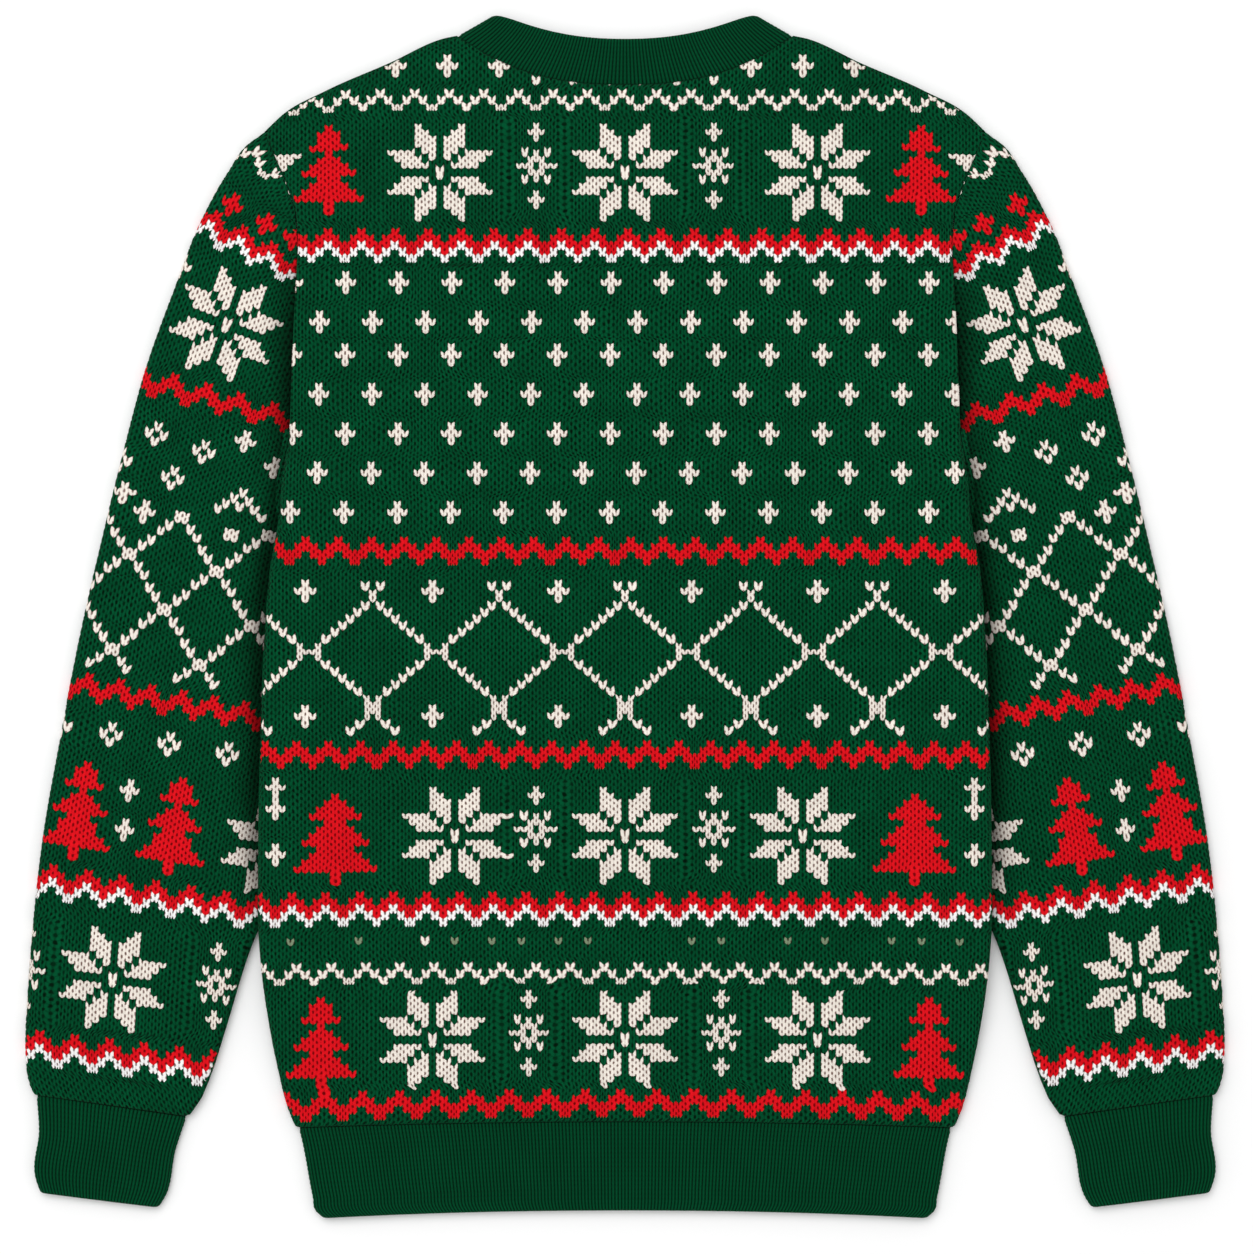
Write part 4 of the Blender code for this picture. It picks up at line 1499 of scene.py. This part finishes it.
class SweatshirtStage(bpy.types.PropertyGroup):
    """Sizes and light of the stage."""

    floor_size: bpy.props.FloatProperty(
        name="Floor size", description="Side of the square floor",
        default=6.0, min=1.0, max=50.0, unit="LENGTH")
    floor_colour: bpy.props.FloatVectorProperty(
        name="Floor colour", description="Colour of the floor", subtype="COLOR",
        default=(0.96, 0.96, 0.96), min=0.0, max=1.0)
    view_width: bpy.props.FloatProperty(
        name="View width", description="Width that the camera takes in",
        default=0.7449, min=0.1, max=10.0, precision=4, unit="LENGTH")
    key_power: bpy.props.FloatProperty(
        name="Key power", description="Power of the large soft lamp",
        default=40.0, min=0.0, max=2000.0, unit="POWER")
    sky_strength: bpy.props.FloatProperty(
        name="Sky strength", description="Strength of the even light from all round",
        default=0.725, min=0.0, max=5.0)


# ------------------------ operators
SIDES = (("left", -1.0), ("right", 1.0))
CUFF_DEPTH = 56.1
CAMERA_PLACE = (0.0012, -0.0065)
KEY_PLACE = (-0.6, 0.9, 2.6)
KEY_SIZE = 2.2


class SWEATSHIRT_OT_body(bpy.types.Operator):
    """Knit the back and the front"""

    bl_idname = "sweatshirt.body"
    bl_label = "Back and Front"

    def execute(self, context):
        finish = stranded_knit(context.scene.sweatshirt_yarns)
        for side, form, area, rests_on in (("back", BodyForm(back_neck, 1), 0.264, ["front"]),
                                           ("front", BodyForm(front_neck, -1), 0.253, [])):
            knit_piece(Piece("knit_" + side, side, "pattern_knit", finish, (0.437, 0.652), area,
                             rests_on), form)
        return {"FINISHED"}


class SWEATSHIRT_OT_sleeves(bpy.types.Operator):
    """Knit the two sleeves"""

    bl_idname = "sweatshirt.sleeves"
    bl_label = "Sleeves"

    def execute(self, context):
        finish = stranded_knit(context.scene.sweatshirt_yarns)
        for side, mirror in SIDES:
            knit_piece(Piece("knit_sleeve_" + side, "sleeve_" + side, "pattern_knit", finish,
                             (0.31, 0.60), 0.152, []), SleeveForm(mirror))
        return {"FINISHED"}


class SWEATSHIRT_OT_ribs(bpy.types.Operator):
    """Knit the hem rib, the cuffs and the neck rib"""

    bl_idname = "sweatshirt.ribs"
    bl_label = "Ribs"

    def execute(self, context):
        finish = fine_rib(context.scene.sweatshirt_yarns)
        rib_piece(Piece("rib_hem", "hem_rib", "rib_knit", finish, (0.775, 0.055), None, []),
                  hem_lines, HEM_RIB[0].height, RIB_LAID)
        for side, mirror in SIDES:
            rib_piece(Piece("rib_cuff_" + side, "cuff_" + side, "rib_knit", finish,
                            (0.19, 0.057), None, []), cuff_lines, CUFF_DEPTH, RIB_LAID, mirror)
        rib_piece(Piece("rib_neck", "neck_rib", "rib_knit", finish, (0.46, 0.03), None, []),
                  neck_lines, RIB_DEPTH, LAID, seam_low=True)
        return {"FINISHED"}


class SWEATSHIRT_OT_stage(bpy.types.Operator):
    """Lay the pale floor, and set the soft light and the camera"""

    bl_idname = "sweatshirt.stage"
    bl_label = "Stage"

    def execute(self, context):
        stage = context.scene.sweatshirt_stage
        half = stage.floor_size / 2
        mesh = bpy.data.meshes.new("floor")
        mesh.from_pydata([(-half, -half, 0), (half, -half, 0), (half, half, 0), (-half, half, 0)],
                         [], [(0, 1, 2, 3)])
        mesh.materials.append(floor_finish(stage))
        floor = bpy.data.objects.new("floor", mesh)

        world = bpy.data.worlds.new("Studio")
        context.scene.world = world
        g = Graph(world)
        even, white = (g.value("ShaderNodeBackground", Color=(1.0, 1.0, 1.0), Strength=strength)
                       for strength in (stage.sky_strength, 1.0))
        mix = g.value("ShaderNodeMixShader", i0=g.value("ShaderNodeLightPath"), i1=even, i2=white)
        g.node("ShaderNodeOutputWorld", Surface=mix)

        lamp = bpy.data.lights.new("key", "AREA")
        lamp.shape = "SQUARE"
        lamp.size = KEY_SIZE
        lamp.energy = stage.key_power
        key = bpy.data.objects.new("key", lamp)
        key.location = KEY_PLACE
        key.rotation_euler = (-key.location).to_track_quat("-Z", "Y").to_euler()

        lens = bpy.data.cameras.new("camera")
        lens.lens = 100.0
        lens.sensor_width = 36.0
        lens.clip_start = 0.05
        camera = bpy.data.objects.new("camera", lens)
        middle = (CAD_BOX[0].z + CAD_BOX[1].z) / 2
        camera.location = (*CAMERA_PLACE, middle + stage.view_width * lens.lens / lens.sensor_width)
        for made in (floor, key, camera):
            context.scene.collection.objects.link(made)
        context.scene.camera = camera
        context.scene.view_settings.view_transform = "Standard"
        return {"FINISHED"}


class SWEATSHIRT_PT_panel(bpy.types.Panel):
    """Steps and settings of the sweatshirt"""

    bl_idname = "SWEATSHIRT_PT_panel"
    bl_label = "Sweatshirt"
    bl_space_type = "VIEW_3D"
    bl_region_type = "UI"
    bl_category = "Sweatshirt"

    def draw(self, context):
        layout = self.layout
        for operator in OPERATORS:
            layout.operator(operator.bl_idname)
        for group_name in SETTINGS:
            group = getattr(context.scene, group_name)
            box = layout.box()
            for name in group.__annotations__:
                box.prop(group, name)


OPERATORS = [SWEATSHIRT_OT_stage, SWEATSHIRT_OT_body, SWEATSHIRT_OT_sleeves, SWEATSHIRT_OT_ribs]
SETTINGS = {"sweatshirt_gauge": SweatshirtGauge, "sweatshirt_yarns": SweatshirtYarns,
            "sweatshirt_stage": SweatshirtStage}
CLASSES = [*SETTINGS.values(), *OPERATORS, SWEATSHIRT_PT_panel]


def register():
    """Add the classes and the scene's settings to Blender."""
    for cls in CLASSES:
        bpy.utils.register_class(cls)
    for name, cls in SETTINGS.items():
        setattr(bpy.types.Scene, name, bpy.props.PointerProperty(type=cls))


def unregister():
    """Take them out again."""
    for name in SETTINGS:
        delattr(bpy.types.Scene, name)
    for cls in reversed(CLASSES):
        bpy.utils.unregister_class(cls)


def main():
    """Make every piece and the stage."""
    register()
    bpy.ops.sweatshirt.stage()
    bpy.ops.sweatshirt.body()
    bpy.ops.sweatshirt.sleeves()
    bpy.ops.sweatshirt.ribs()


if __name__ == "__main__":
    main()
